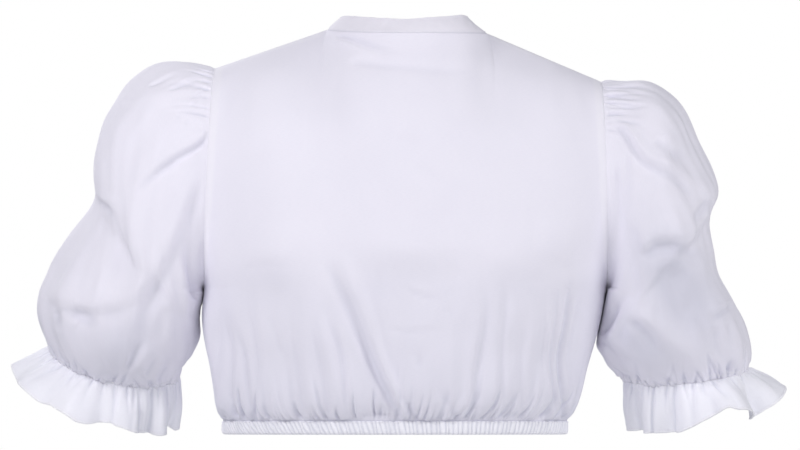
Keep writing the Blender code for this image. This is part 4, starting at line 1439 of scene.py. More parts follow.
@dataclass
class TorsoPanel:
    """The front or the back of the blouse, one piece of cloth from side seam to side seam.

    Attributes:
        facing: Front or back.
        creases: Its main folds.
        finish: Its cloth.
        hem: The gathers above the hem casing.
        cloth: The cloth's thickness.
        tuck: How far its foot reaches into the hem casing.
        half_columns: Grid columns from the centre line to the side.
        rows: Grid rows from the hem to the top.
        seam_allowance: Width of the doubled cloth along the armholes and seams.
        gather_end: How far from the centre line the hem's gathers reach.
        side_sink: How far its sides sink in below the underarm.
        slit_stitches: Share of the rows above which the slit is stitched.
        side_stitches: Share of the rows above which the armhole is stitched.
    """

    facing: Facing
    creases: tuple[Crease, ...]
    finish: CottonFinish
    hem: tuple[Gathers, ...]
    cloth: float = 0.5
    tuck: float = 1.6
    half_columns: int = 246
    rows: int = 154
    seam_allowance: float = 9.0
    gather_end: float = 235.0
    side_sink: float = 2.6
    slit_stitches: float = 0.64
    side_stitches: float = 0.36

    @property
    def name(self) -> str:
        """The panel's side as it stands in node names."""
        return self.facing.name.lower()

    def _half(self, hand: Hand) -> Patch:
        """The left or right half with its relief."""
        keys = np.linspace(0, FORM.last_row, 641)
        middle_line = FORM.half(self.facing, Hand.LEFT, keys, np.array([FORM.last_column / 2]))[:, 0]
        rows = even_steps(middle_line, keys, self.rows, 0.62)
        rows[self._slit_foot(rows)] = FORM.underarm_row + FORM.slit_row
        keys = np.linspace(0, FORM.last_column, 1921)
        lines = FORM.half(self.facing, hand, rows, keys)
        columns = np.array([even_steps(line, keys, self.half_columns) for line in lines])
        points = np.stack([[np.interp(at, keys, line[:, axis]) for at, line in zip(columns, lines)]
                           for axis in range(3)], axis=-1)
        closed = slice(0, self._slit_foot(rows) + 1 if self.facing is Facing.FRONT else None)
        points[closed, 0] = self._centre(rows[closed])
        patch = patch_of(points, self.cloth)
        measured = run_length(lines.transpose(1, 0, 2)).mean(axis=1)
        patch.across = np.interp(columns, keys, measured) * hand.value
        self._dress(patch, rows, columns, hand)
        return patch

    @staticmethod
    def _slit_foot(rows: Array) -> int:
        """The even grid row nearest to the slit's lower end."""
        return 2 * int(np.abs(rows[::2] - (FORM.underarm_row + FORM.slit_row)).argmin())

    def _centre(self, rows: Array) -> Array:
        """The line that both halves share, midway between what the two give."""
        both = [FORM.half(self.facing, hand, rows, np.array([0.0]))[:, 0] for hand in Hand]
        return (both[0] + both[1]) / 2

    def _dress(self, patch: Patch, rows: Array, columns: Array, hand: Hand) -> None:
        """Lays the folds, gathers, doubled seams and painted shade on a half panel."""
        points = patch.points
        share = FORM.shares(columns)[0]
        row = np.broadcast_to(rows[:, None], patch.relief.shape)
        to_side = run_length(points.transpose(1, 0, 2)).T
        to_side = to_side[:, -1:] - to_side
        to_top = patch.along[-1:] - patch.along
        below = fade(row, 4.5, 7.5)
        seams = fade(share, 0.9 + 0.065 * below, 0.995 + 0.005 * below)
        pinned = seams * fade(-to_top, -9, -1) * (1 - 0.92 * fade(patch.along, 1.4, 4.2))
        folds = crease_relief(points[..., 0], points[..., 2], self.creases)
        pleats = self._pleats(patch)
        relief = (folds + pleats + self._uneven(patch, to_top) + self._fullness(patch, share)) * pinned
        # Painted shade: darker in the furrows of the pleats and folds, below the fullest part and in the
        # hem's corners
        shade = 1.3 * furrows(pleats * pinned) + 0.4 * furrows(folds * pinned)
        patch.painted_shade = np.clip(shade + self._painted_shade_zones(patch, hand), 0, 1)
        patch.thickness *= 1 - 0.6 * fade(to_side, 1.5, 4.0) * (row > FORM.underarm_row)
        doubled = self._doubled(share, row, to_side, to_top)
        patch.layers = 0.6 * doubled
        patch.relief = relief + 0.15 * doubled * fade(-to_side, -2.5, -0.5)
        points[..., 1] += armhole_lift(points, to_side) * (1 - fade(row, 4.5, FORM.underarm_row))
        points[..., 0] *= 1 - WAIST.at(points[..., 2])
        points[0, :, 2] -= self.tuck

    def _swell(self, patch: Patch, seed: int, length: float, stretch: float = 1.0) -> Array:
        """A field over the cloth, another one on the front than on the back."""
        return Swell(seed + self.facing.value, length, stretch).at(patch.across, patch.along)

    def _pleats(self, patch: Patch) -> Array:
        """The gathers above the hem, fanned out from the centre line and deeper towards the sides."""
        deeper = 0.85 + 0.55 * (np.abs(patch.across) / 200) ** 2
        fanned = patch.across - 11 * np.tanh(patch.across / 70) * (1 - np.exp(-patch.along / 22))
        total = np.zeros(patch.relief.shape)
        for gathers in self.hem:
            total += deeper * gathers.relief(fanned, patch.along, -self.gather_end, self.gather_end)
        return total

    def _uneven(self, patch: Patch, to_top: Array) -> Array:
        """Broad unevenness away from the top edge, and fine unevenness that is weaker above the gathers."""
        broad = 0.9 * self._swell(patch, 11, 95, 1.5) * fade(-to_top, -60, -15)
        return broad + (0.12 + 0.35 * fade(patch.along, 90, 170)) * self._swell(patch, 23, 26, 2.4)

    def _fullness(self, patch: Patch, share: Array) -> Array:
        """How far the cloth hangs out above the waist and is drawn in below it, with its sides sunk in."""
        height = patch.points[..., 2]
        beside = (1 - fade(share, 0.3, 0.7)) * fade(share, 0.92, 1.0)
        sunk = self.side_sink * beside * (1 - np.exp(np.minimum(height - FORM.underarm, 0) / 22))
        full = sum(hump.at(height) for hump in BLOUSING) * (1 + 0.35 * self._swell(patch, 31, 90))
        return full - sunk * fade(-height, 300, 350)

    def _painted_shade_zones(self, patch: Patch, hand: Hand) -> Array:
        """How much painted shade darkens the cloth below the fullest part and in the hem's corners."""
        height = patch.points[..., 2]
        wander = height + 5 * self._swell(patch, 35, 80)
        corner = fade(-np.abs(patch.points[..., 0]), -166, -128) * CORNER.at(patch.along)
        low = 0.28 * fade(wander, -246, -212) + 0.2 * fade(height, -350, -270)
        return low + CORNER_SHADE[hand] * corner

    def _doubled(self, share: Array, row: Array, to_side: Array, to_top: Array) -> Array:
        """Where the cloth lies double: along the armholes and, more weakly, the side and shoulder seams."""
        band = fade(to_side, self.seam_allowance - 2.5, self.seam_allowance + 2.5)
        band *= 1 - 0.5 * fade(row, 5.6, 7.2)
        beyond_neck = 1 - fade(share, FORM.neck_share, FORM.neck_share + 0.04)
        return np.maximum(band, 0.6 * fade(to_top, 8.5, 10.5) * beyond_neck)

    def dress(self) -> bpy.types.Object:
        """Builds the panel and its stitching.

        Returns:
            The panel.
        """
        left, right = self._half(Hand.LEFT), self._half(Hand.RIGHT)
        patches = [left.turned(), right] if self.facing is Facing.BACK else [left, right.turned()]
        shell = Shell(f"{self.name}_cloth", patches)
        piece, sewing = sewn(shell, self.finish, self._stitch_lines(shell), Stitching(), f"{self.name}_panel",
                             f"{self.name}_cotton")
        f"hem_casing_{self.name}"
        return piece

    def _stitch_lines(self, shell: Shell) -> list[tuple[Array, Array]]:
        """Rows of stitches beside the armholes, and round the slit on the front."""
        lines = []
        for patch, surface in zip(shell.patches, shell.surfaces()):
            last = patch.relief.shape[1] - 1
            side_first = np.abs(patch.across[0]).argmax() == 0
            side, middle = (2, last - 2) if side_first else (last - 2, 2)
            upper = slice(int(self.side_stitches * self.rows), self.rows - 1)
            lines.append((surface.points[upper, side], surface.normals[upper, side]))
            if self.facing is Facing.FRONT:
                slit = slice(int(self.slit_stitches * self.rows), self.rows)
                lines.append((surface.points[slit, middle], surface.normals[slit, middle]))
        return lines


@dataclass
class CollarBand:
    """The doubled stand collar, from one side of the throat round the back of the neck to the other.

    Attributes:
        cloth: Its thickness.
        seam_gap: The gap above the neckline's seam.
        end_height: Share of its height left at the two rounded ends.
        end_share: How much of each half's length the rounding takes.
        round_edge: How far down its upper edge is rounded off.
        side_dip: How far its upper edge dips at the sides of the neck.
        columns: Grid columns round the neck.
        rows: Grid rows up the band.
    """

    cloth: float = 1.9
    seam_gap: float = 0.3
    end_height: float = 0.6
    end_share: float = 0.08
    round_edge: float = 1.1
    side_dip: float = 2.4
    columns: int = 320
    rows: int = 24

    def _base(self, at: Array) -> tuple[Array, Array, Array]:
        """Seam points, ways and heights at places round the neck, in four quarters from throat to throat."""
        count = FORM.neck_columns
        throat = FORM.throat(Facing.FRONT)
        points, ways, heights = (np.zeros((len(at), 3)), np.zeros((len(at), 3)), np.zeros(len(at)))
        quarters = ((Facing.FRONT, Hand.LEFT), (Facing.BACK, Hand.LEFT), (Facing.BACK, Hand.RIGHT),
                    (Facing.FRONT, Hand.RIGHT))
        for number, (facing, hand) in enumerate(quarters):
            start = number * count
            here = (at >= start) & (at <= start + count)
            share = (at[here] - start) / count
            share = 1 - share if number % 2 else share
            low = throat if facing is Facing.FRONT else 0.0
            angles = low + (math.pi / 2 - low) * share
            edge = FORM.neck_edge(facing, hand, angles, 0.0)
            edge[:, 1] += facing.value * HALF_GAP * np.minimum(1, 6 * np.cos(angles))
            points[here] = edge
            ways[here] = FORM.collar_way(facing, hand, angles)
            heights[here] = FORM.collar_stand(facing, hand, angles, "height")
        place = np.clip((np.abs(at / (2 * count) - 1) - (1 - self.end_share)) / self.end_share, 0, 1)
        return points, ways, heights * (self.end_height + (1 - self.end_height) * np.sqrt(1 - place**2))

    def dress(self) -> bpy.types.Object:
        """Builds the band and its two rows of topstitching.

        Returns:
            The band.
        """
        keys = np.linspace(0, 4 * FORM.neck_columns, 721)
        at = even_steps(self._base(keys)[0], keys, self.columns)
        points, ways, heights = self._base(at)
        share = np.linspace(0, 1, self.rows + 1)[:, None, None]
        grid = points + ways * (self.seam_gap + share * (heights[:, None] - self.seam_gap))
        grid[..., 2] -= self.side_dip * sum(dip.at(at) for dip in COLLAR_DIPS) * share[..., 0] ** 2
        patch = patch_of(grid, self.cloth)
        to_top = patch.along[-1:] - patch.along
        round_off = 1 - np.sqrt(np.clip(1 - (1 - np.clip(to_top / self.round_edge, 0, 1)) ** 2, 0, 1))
        groove = COLLAR_GROOVES["top"].at(to_top) + COLLAR_GROOVES["foot"].at(patch.along)
        broad = Swell(41, 42, 0.6).at(patch.across, patch.along) * fade(-patch.along, -6, 0)
        fine = Swell(42, 9, 1.5).at(patch.across, patch.along)
        patch.thickness = self.cloth * (1 - 0.8 * round_off)
        patch.relief = -0.75 * round_off - 0.2 * groove + 0.35 * broad + 0.1 * fine
        # Painted shade along the band's foot, beside the neckline seam
        patch.painted_shade = 0.7 * fade(patch.along, 0.6, 2.4)
        patch.layers += 0.45
        shell = Shell("collar_cloth", [patch])
        finish = CottonFinish("collar_cotton_weave", SHADED_COLLAR_COTTON)
        piece, sewing = sewn(shell, finish, shell.lines((3, self.rows - 3)), Stitching(), "collar_band",
                             "collar_cotton")
        return piece


@dataclass
class HemCasing:
    """Half of the casing that holds the hem's elastic.

    Attributes:
        facing: Front or back.
        height: Its height.
        cloth: The wall's thickness between its ribs.
        bulge: How far the elastic swells its middle.
        ribs: How many gathers cross this half.
        rib_height: How far they stand out.
        slant: How many ribs' width a rib moves from its top to its foot.
        columns: Grid columns from seam to seam.
        rows: Grid rows down it.
    """

    facing: Facing
    height: float = 13.0
    cloth: float = 2.4
    bulge: float = 1.5
    ribs: int = 102
    rib_height: float = 1.4
    slant: float = 2.0
    columns: int = 620
    rows: int = 18

    def dress(self) -> bpy.types.Object:
        """Builds the casing with the two rows of stitches along its edges.

        Returns:
            The casing.
        """
        word, mark = self.facing.name.lower(), self.facing.value
        keys = np.linspace(-math.pi / 2, math.pi / 2, 1441)
        angles = even_steps(self._section(keys, 0.0, np.zeros(1))[0], keys, self.columns)
        level = np.linspace(0, 1, self.rows + 1)
        run = run_length(self._section(angles, 0.0, np.zeros(1))[0])
        ribs = self._ribs(angles, run, level)
        pin = fade(-np.minimum(run, run[-1] - run), -3, 0)
        middle = np.sqrt(1 - np.abs(2 * level - 1) ** 3)[:, None]
        lip_wave = 0.8 + 0.3 * Swell(75 + mark, 7, 1.0).at(run, np.zeros(1))
        swell = self.bulge * (1.6 * middle - 0.6) + CASING_LIP.at(level)[:, None] * lip_wave * pin
        out = swell + self.rib_height * (ribs - 0.6) * (0.15 + 0.85 * middle) * pin
        outside = self._section(angles, out, level)
        inside = self._section(angles, -self.cloth + 0.25 * ribs * pin, level)
        order = slice(None, None, -1) if self.facing is Facing.FRONT else slice(None)
        patch = patch_of(outside[:, order], self.cloth)
        patch.lining = inside[:, order]
        # Painted shade in the furrows between the ribs
        patch.painted_shade = (1.3 * np.clip(0.9 - ribs, 0, 1) * pin * np.ones((len(level), 1)))[:, order]
        patch.layers += 0.35
        shell = Shell(f"casing_{word}_cloth", [patch])
        finish = CottonFinish(f"casing_{word}_weave", PAINTED_LIGHT_COTTON)
        piece, sewing = sewn(shell, finish, shell.lines((2, self.rows - 2)), Stitching(1.8, 2.6),
                             f"hem_casing_{word}", f"casing_{word}_cotton")
        return piece

    def _ribs(self, angles: Array, run: Array, level: Array) -> Array:
        """The gathers across the casing, uneven in width and strength, 0 between them and about 1 on top."""
        draw = np.random.default_rng(70 + self.facing.value)
        shares = np.linspace(0, 1, self.ribs + 1)
        shares[1:-1] += draw.uniform(-0.28, 0.28, self.ribs - 1) / self.ribs
        phase = np.interp(run / run[-1], shares, np.arange(self.ribs + 1))
        slant = self.slant * (np.sin(angles) + 0.3) * (level[:, None] - 0.5)
        turn = 2 * math.pi * (phase[None, :] + slant)
        strength = np.interp(run / run[-1], shares, draw.uniform(0.6, 1.25, self.ribs + 1))
        return np.abs(np.sin(turn / 2)) ** 0.8 * strength

    def _section(self, angles: Array, out: Array | float, level: Array) -> Array:
        """Rows of the casing's section, moved out, for levels from its top, 0, to its foot, 1."""
        top, power = FORM.hem_top, FORM.power
        across = np.sign(np.sin(angles)) * np.abs(np.sin(angles)) ** (2 / power)
        depth = np.clip(1 - np.abs(across) ** power, 0, 1) ** (1 / power)
        middle = FORM.centre_x(top)
        left, right = FORM.side_x(Hand.LEFT, top) - middle, middle - FORM.side_x(Hand.RIGHT, top)
        half_width = np.where(across > 0, left, right)
        out = np.broadcast_to(out, (len(level), len(angles)))
        x = middle + across * (half_width + out)
        y = self.facing.value * (HALF_GAP + depth * (FORM.depth(self.facing, top) + out))
        z = top - 2 * HALF_GAP - self.height * level[:, None] + FORM.hem_rise(self.facing, top) * depth
        return np.stack([x, y, np.broadcast_to(z, x.shape)], axis=-1)


@dataclass
class Sleeve:
    """A puffed sleeve, gathered into the armhole and at the elbow.

    Attributes:
        hand: Left or right.
        back_creases: The folds of its back side.
        front_creases: The folds of its front side.
        cloth: The cloth's thickness.
        columns: Grid columns round it.
        rows: Grid rows down it.
        flat: Width and length of its cut, in metres, and the cut's area; not used.
        body_gap: How far from the body's side its inner side stays.
        body_reach: How far it moves in towards the body at most.
    """

    hand: Hand
    back_creases: tuple[Crease, ...]
    front_creases: tuple[Crease, ...]
    cloth: float = 0.5
    columns: int = 516
    rows: int = 146
    flat: tuple[float, float, float] = (0.56, 0.3, 0.14)
    body_gap: float = 0.5
    body_reach: float = 2.6

    @property
    def last_ring(self) -> float:
        """The number of the ring at the cuff."""
        return len(SLEEVE_RINGS[self.hand]) - 1.0

    def _rings(self, at: Array) -> tuple[Array, Array, Array]:
        """(middle, towards the outer point, towards the back) of the rings at row numbers."""
        ring = spline(np.array(SLEEVE_RINGS[self.hand], float), at)
        out_x, out_z, in_x, in_z, depth, middle_y, tilt = ring.T
        outer = np.stack([out_x, middle_y, out_z], axis=-1)
        inner = np.stack([in_x, middle_y, in_z], axis=-1)
        tilt = np.radians(tilt)
        back = depth[:, None] * np.stack([0 * tilt, np.cos(tilt), -np.sin(tilt)], axis=-1)
        return (outer + inner) / 2, (outer - inner) / 2, back

    def ring_points(self, at: Array, angles: Array) -> Array:
        """A grid of points on the sleeve."""
        middle, outward, back = (part[:, None, :] for part in self._rings(at))
        return middle + np.cos(angles)[:, None] * outward + np.sin(angles)[:, None] * back

    def axis(self, at: float) -> Array:
        """Unit normal of a ring's plane, pointing down the sleeve."""
        _, outward, back = self._rings(np.array([at]))
        return unit(np.cross(back[0], outward[0]) * self.hand.value)

    def _to_body(self, points: Array, angles: Array) -> Array:
        """How far the sleeve's inner side lies in towards the body's side below the armhole."""
        z = points[..., 2]
        body = FORM.side_x(self.hand, np.clip(z, FORM.hem_top, FORM.underarm))
        gap = self.hand.value * (points[..., 0] - body)
        close = np.clip(gap - self.body_gap, 0, self.body_reach) * fade(from_inside(angles), 25, 70)
        contact = CONTACTS[self.hand]
        lower = fade(-z, -contact.open_from, -contact.open_to)
        return self.hand.value * close * lower * fade(z, contact.full, FORM.underarm)

    def cuff(self, angles: Array) -> tuple[Array, Array]:
        """The cuff's ring and its middle."""
        last = np.array([self.last_ring])
        return self.ring_points(last, angles)[0], self._rings(last)[0][0]

    def _dress(self, patch: Patch, angles: Array) -> None:
        """Lays the folds, gathers and painted shade on the sleeve."""
        x, z = patch.points[..., 0], patch.points[..., 2]
        from_head = patch.along
        from_cuff = patch.along[-1:] - patch.along
        folds = self._folds(x, z, angles)
        pleats = self._pleats(patch, angles, from_cuff)
        relief = folds + pleats + self._uneven(angles, from_head)
        inside = from_inside(angles)
        under = np.where(relief < 0, fade(inside, 8, 26), fade(inside, 14, 48))
        pinned = (1 - 0.85 * under * (1 - fade(from_cuff, 20, 50))) * (0.1 + 0.9 * fade(-from_head, -7, -1))
        relief *= pinned * (0.5 + 0.5 * fade(-from_cuff, -8, -4))
        relief -= 0.05 * fade(from_head, 0.6, 2.6)
        relief -= fade(inside, 20, 60) * CUFF_DRAWN_IN.at(from_cuff)
        # Painted shade: darker in the furrows of the pleats and folds, and where the puff hangs over
        shade = 1.2 * furrows(pleats * pinned, True) + 0.4 * furrows(folds * pinned, True)
        patch.painted_shade = np.clip(shade + self._painted_shade_zones(x, z), 0, 1)
        pressed = np.clip(sum(Hump(row, 0.9).at(from_cuff) for row in CUFF_ROWS), 0, 1)
        relief *= 1 - 0.45 * pressed
        patch.relief = relief - 0.35 * fade(from_cuff, 6.0, 9.0) * pressed
        patch.layers = 0.5 * fade(from_cuff, 6.5, 8.0) + 0.6 * fade(from_head, 0.8, 1.6)

    def _folds(self, x: Array, z: Array, angles: Array) -> Array:
        """The creases of the back and of the front side, which run over into each other on top."""
        back = 1 - fade(np.sin(angles), -0.34, -0.04)
        behind, ahead = (crease_relief(x, z, part) for part in (self.back_creases, self.front_creases))
        return behind * back + ahead * (1 - back)

    def _pleats(self, patch: Patch, angles: Array, from_cuff: Array) -> Array:
        """The gathers of the sleeve's head, on its upper side only, and those above the elastic."""
        seed = 100 + 10 * self.hand.value
        head_run, cuff_run = (run_length(patch.points[row]) for row in (0, -1))
        upper = fade(np.degrees(np.minimum(angles, 2 * math.pi - angles)), 44, 78)
        head = upper * gathered(seed, HEAD_PLEATS, (0.1, 1.2), head_run, patch.along)
        return head + gathered(seed + 4, CUFF_PLEATS, (0.2, 1.2), cuff_run, from_cuff)

    def _uneven(self, angles: Array, from_head: Array) -> Array:
        """Broad unevenness away from the head seam, and fine unevenness."""
        seed = 100 + 10 * self.hand.value
        around = 95 * angles
        broad = 1.3 * Swell(seed + 7, 70, 1.3).at_ring(around, from_head) * fade(-from_head, -60, -10)
        return broad + 0.28 * Swell(seed + 8, 24, 1.6).at_ring(around, from_head)

    def _painted_shade_zones(self, x: Array, z: Array) -> Array:
        """How much painted shade darkens the puff's lower part, where it hangs over."""
        total = sum(blob.at(x, z) for blob in PAINTED_SHADE_BLOBS[self.hand])
        if self.hand is Hand.LEFT:
            shelf = np.interp(x, column(SHELF, "x"), column(SHELF, "z"))
            total += 0.34 * fade(z - shelf, -22, 4) * (1 - fade(x, 212, 246))
        return total

    def dress(self) -> bpy.types.Object:
        """Builds the sleeve and the two rows of stitches along its elastic.

        Returns:
            The sleeve.
        """
        last = self.last_ring
        angles = np.linspace(0, 2 * math.pi, self.columns + 1)
        keys = np.linspace(0, last, 601)
        middle_line = self.ring_points(keys, np.array([0.28 * math.pi]))[:, 0]
        rows = even_steps(middle_line, keys, self.rows, 0.5)
        points = self.ring_points(rows, angles)
        points += self.axis(0.0) * 0.05 * fade(rows, 0, 1)[:, None, None]
        points -= self.axis(last) * HALF_GAP * (1 - fade(rows, last - 1, last))[:, None, None]
        points[..., 1] += armhole_lift(points, run_length(points))
        points -= self.axis(0.0) * 1.4 * fade(run_length(points), 0.5, 4.5)[..., None]
        points[..., 0] -= self._to_body(points, angles)
        points[:, -1] = points[:, 0]
        patch = patch_of(points, self.cloth)
        self._dress(patch, angles)
        word = self.hand.word
        shell = Shell(f"sleeve_{word}_cloth", [patch if self.hand is Hand.RIGHT else patch.turned()])
        from_cuff = patch.along[-1].mean() - patch.along.mean(axis=1)
        lines = shell.lines([int(np.abs(from_cuff - distance).argmin()) for distance in CUFF_ROWS])
        finish = CottonFinish(f"sleeve_{word}_weave", COTTON)
        piece, sewing = sewn(shell, finish, lines, Stitching(1.7, 2.5), f"sleeve_{word}",
                             f"sleeve_{word}_cotton")
        return piece


@dataclass
class CuffFrill:
    """The frill below a sleeve's elastic, flared and waved.

    Attributes:
        sleeve: The sleeve that it is part of.
        length: Its length from the elastic to its edge.
        cloth: The cloth's thickness.
        tuck: How far its top reaches into the sleeve.
        columns: Grid columns round it.
        rows: Grid rows down it.
        flat: Width and length of its cut, in metres; not used.
    """

    sleeve: Sleeve
    length: float
    cloth: float = 0.5
    tuck: float = 1.5
    columns: int = 600
    rows: int = 36
    flat: tuple[float, float] = (0.44, 0.05)

    def _grid(self, angles: Array) -> Array:
        """The frill on its solid's surface."""
        hand = self.sleeve.hand
        waves = FRILL_WAVES[hand]
        keys = [waves[-1].angle - 360] + column(waves, "angle") + [360 + wave.angle for wave in waves[:2]]
        flares = [waves[-1].flare] + column(waves, "flare") + [wave.flare for wave in waves[:2]]
        flare = smooth(keys, flares, np.degrees(angles))
        points, middle = self.sleeve.cuff(angles)
        axis = self.sleeve.axis(self.sleeve.last_ring)
        down = unit(axis + np.array([0, 0, -1]))
        outward = unit(points - middle)
        coarse = [points - axis * self.tuck]
        for step in range(3):
            share = (step + 0.5) / 3
            lean = np.radians(flare + 14 * (1 - share) - 12 * share)
            way = np.cos(lean)[:, None] * down + np.sin(lean)[:, None] * outward
            coarse.append(coarse[-1] + way * self.length / 3)
        coarse[1:] = [row + axis * self.tuck for row in coarse[1:]]
        grid = spline(np.array(coarse), np.linspace(0, 3, self.rows + 1))
        edge = FRILL_EDGES[hand]
        lift = np.interp(grid[-1, :, 0], column(edge, "x"), column(edge, "rise"))
        grid[..., 2] += lift * np.linspace(0, 1, self.rows + 1)[:, None] ** 1.5
        grid[:, -1] = grid[:, 0]
        return grid

    def dress(self) -> bpy.types.Object:
        """Builds the frill with its rolled edge.

        Returns:
            The frill.
        """
        hand, word = self.sleeve.hand, self.sleeve.hand.word
        angles = np.linspace(0, 2 * math.pi, self.columns + 1)
        patch = patch_of(self._grid(angles), self.cloth)
        seam_run = run_length(patch.points[0])
        seed = 200 + 10 * hand.value
        pleats = gathered(seed, FRILL_PLEATS, (0.08, 1.0), seam_run, patch.along)
        for flute in FLUTES[hand]:
            away = np.abs((np.degrees(angles) - flute.angle + 180) % 360 - 180) / flute.width
            pleats += 1.3 * flute.height * np.exp(-(away**2)) * (0.5 + 0.5 * patch.along / self.length)
        roll = fade(patch.along[-1:] - patch.along, 1.6, 2.6)
        relief = pleats + 0.25 * Swell(seed + 8, 20, 1.4).at_ring(70 * angles, patch.along)
        relief *= fade(-patch.along, -6, 0.5)
        relief -= 0.2 * fade(patch.along, 0.5, 3.5)
        relief *= 1 - 0.4 * fade(from_inside(angles), 14, 48)
        patch.relief = relief + 0.3 * roll
        # Painted shade in the furrows of the pleats and flutes
        patch.painted_shade = 0.8 * furrows(pleats, True)
        patch.thickness = self.cloth + 0.7 * roll
        patch.layers = 0.9 * roll + 0.5 * fade(patch.along, 1.5, 3.0)
        shell = Shell(f"frill_{word}_cloth", [patch if hand is Hand.RIGHT else patch.turned()])
        finish = CottonFinish(f"frill_{word}_weave", PAINTED_LIGHT_COTTON)
        piece, sewing = sewn(shell, finish, shell.lines([self.rows - 2]), Stitching(1.7, 2.5),
                             f"cuff_ruffle_{word}", f"ruffle_{word}_cotton")
        return piece


def add_piece(piece: bpy.types.Object, node: str | None) -> None:
    """Fixes a piece to the blouse, hides the solid that it replaces and logs its faces and area.

    Args:
        piece: The piece.
        node: The solid that it replaces, or None for sewing.
    """
    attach(piece, "root")
    if node:
        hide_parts(node)
    area = sum(face.area for face in piece.data.polygons) / 2
    log.info("%s: %d faces, %.4f square metres", piece.name, len(piece.data.polygons), area)


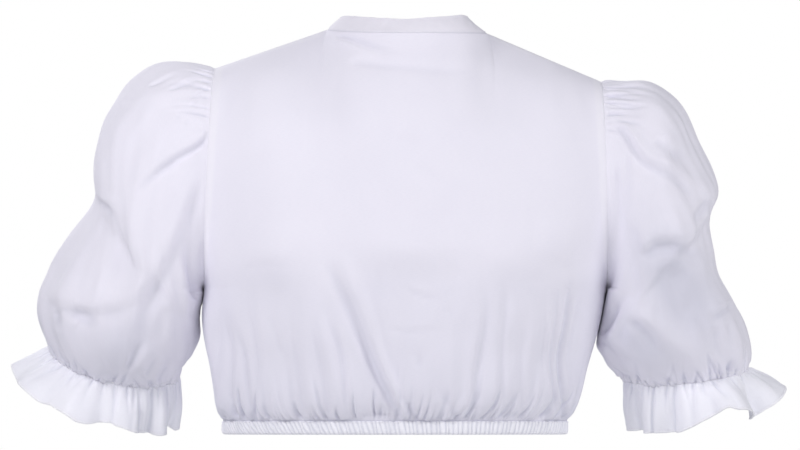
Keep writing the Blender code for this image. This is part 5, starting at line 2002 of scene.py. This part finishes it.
@dataclass(frozen=True)
class Studio:
    """A pale floor, a white surround, soft light and the camera.

    Attributes:
        floor_height: Where the floor lies, in metres.
        floor_radius: Its radius, in metres.
        surround: Radius of the white surround, in metres.
        ambient: Strength of the even light from all sides.
    """

    floor_height: float = -1.3
    floor_radius: float = 6.5
    surround: float = 18.0
    ambient: float = 0.243

    def build(self) -> None:
        """Makes the floor, surround, lights and camera."""
        self._world()
        self._floor()
        self._surround()
        for lamp in LAMPS:
            self._softbox(lamp)
        self._camera()

    def _world(self) -> None:
        """Even light from all sides."""
        world = bpy.data.worlds.new("studio_air")
        bpy.context.scene.world = world
        world.use_nodes = True
        light = world.node_tree.nodes["Background"]
        light.inputs["Color"].default_value = (0.92, 0.965, 1.05, 1)
        light.inputs["Strength"].default_value = self.ambient

    def _floor(self) -> None:
        """A round pale floor: one disc to be seen, and one just under it that sends light back."""
        self._disc("floor", self.floor_height, 0.42, True)
        self._disc("floor_bounce", self.floor_height - 0.002, 0.12, False)

    def _disc(self, name: str, height: float, glow: float, seen: bool) -> None:
        """A round piece of floor that either shows or sends light back."""
        count = 96
        turns = np.linspace(0, 2 * math.pi, count + 1)[:-1]
        across, deep = self.floor_radius * np.cos(turns), self.floor_radius * np.sin(turns)
        mesh = bpy.data.meshes.new(name)
        rim = np.stack([across, deep, np.full(count, height)], axis=-1)
        mesh.from_pydata(rim.tolist(), [], [list(range(count))])
        material, tree, shader = new_material(f"{name}_paint")
        feed(tree, shader, {"Base Color": (0.76, 0.76, 0.77, 1), "Roughness": 0.9,
                            "Emission Color": (1, 1, 1, 1), "Emission Strength": glow})
        mesh.materials.append(material)
        disc = self._put_up(mesh, seen)

    @staticmethod
    def _put_up(mesh: bpy.types.Mesh, seen: bool) -> bpy.types.Object:
        """Puts up a backdrop that either shows or takes part in the light."""
        backdrop = bpy.data.objects.new(mesh.name, mesh)
        bpy.context.scene.collection.objects.link(backdrop)
        backdrop.visible_camera = seen
        for kind in ("diffuse", "glossy", "transmission", "volume_scatter", "shadow"):
            setattr(backdrop, f"visible_{kind}", not seen)
        return backdrop

    def _surround(self) -> None:
        """A white dome that shows behind the blouse and sheds no light of its own."""
        mesh = bpy.data.meshes.new("surround")
        form = bmesh.new()
        bmesh.ops.create_uvsphere(form, u_segments=48, v_segments=24, radius=self.surround)
        form.to_mesh(mesh)
        form.free()
        material = bpy.data.materials.new("surround_white")
        material.use_nodes = True
        tree = material.node_tree
        glow = add_node(tree, "Emission", {"Strength": 1.0}).outputs[0]
        feed(tree, tree.nodes["Material Output"], {"Surface": glow})
        mesh.materials.append(material)
        dome = self._put_up(mesh, True)

    @staticmethod
    def _softbox(lamp: Lamp) -> None:
        """A square soft light aimed at the blouse."""
        light = bpy.data.lights.new(lamp.name, "AREA")
        light.size, light.energy, light.color = lamp.size, lamp.power, lamp.colour
        box = bpy.data.objects.new(lamp.name, light)
        box.location = lamp.place
        aim = Vector((0, 0, -0.2)) - Vector(lamp.place)
        box.rotation_euler = aim.to_track_quat("-Z", "Y").to_euler()
        box.visible_camera = False
        bpy.context.scene.collection.objects.link(box)

    @staticmethod
    def _camera() -> None:
        """A long lens, level, square to the back of the blouse."""
        lens = bpy.data.cameras.new("camera")
        lens.sensor_width = 36.0
        lens.lens = 189.5
        lens.clip_end = 60.0
        camera = bpy.data.objects.new("camera", lens)
        camera.location = (0.00285, 4.0, -0.1824)
        camera.rotation_euler = (math.pi / 2, 0, math.pi)
        bpy.context.scene.collection.objects.link(camera)
        bpy.context.scene.camera = camera


def mirrored(creases: Sequence[Crease]) -> tuple[Crease, ...]:
    """Creases on the other hand, with their lips on the other side of steep ones."""
    flipped = []
    for crease in creases:
        run = np.subtract(crease.path[-1], crease.path[0])
        lip = -crease.lip if abs(run[1]) > abs(run[0]) else crease.lip
        flipped.append(crease._replace(path=tuple((-x, z) for x, z in crease.path), lip=lip))
    return tuple(flipped)


def main() -> None:
    """Builds the blouse's pieces in order, then the studio."""
    hem_back = (Gathers(1, 8.2, 4.6, 26, 0.12, 0.4), Gathers(2, 13, 2.6, 40, 0.12),
                Gathers(3, 29, 2.8, 90, 0.06), Gathers(7, 41, 2.6, 120, 0.04, 1.6))
    hem_front = (Gathers(4, 8.2, 4.6, 26, 0.12, 0.4), Gathers(5, 13, 2.6, 42, 0.12),
                 Gathers(6, 29, 2.8, 92, 0.06), Gathers(8, 43, 2.6, 120, 0.04, 1.6))
    TorsoPanel(Facing.BACK, BACK_CREASES, CottonFinish("back_weave", COTTON), hem_back).dress()
    TorsoPanel(Facing.FRONT, FRONT_CREASES, CottonFinish("front_weave", COTTON), hem_front,
               half_columns=200, rows=124).dress()
    CollarBand().dress()
    HemCasing(Facing.BACK).dress()
    HemCasing(Facing.FRONT).dress()
    for hand, other in ((Hand.LEFT, Hand.RIGHT), (Hand.RIGHT, Hand.LEFT)):
        sleeve = Sleeve(hand, SLEEVE_CREASES[hand], mirrored(SLEEVE_CREASES[other]))
        sleeve.dress()
        CuffFrill(sleeve, FRILL_LENGTHS[hand]).dress()
    Studio().build()
    view = bpy.context.scene.view_settings
    view.view_transform = "Standard"


if __name__ == "__main__":
    logging.basicConfig(level=logging.INFO, format="%(name)s: %(message)s")
    main()
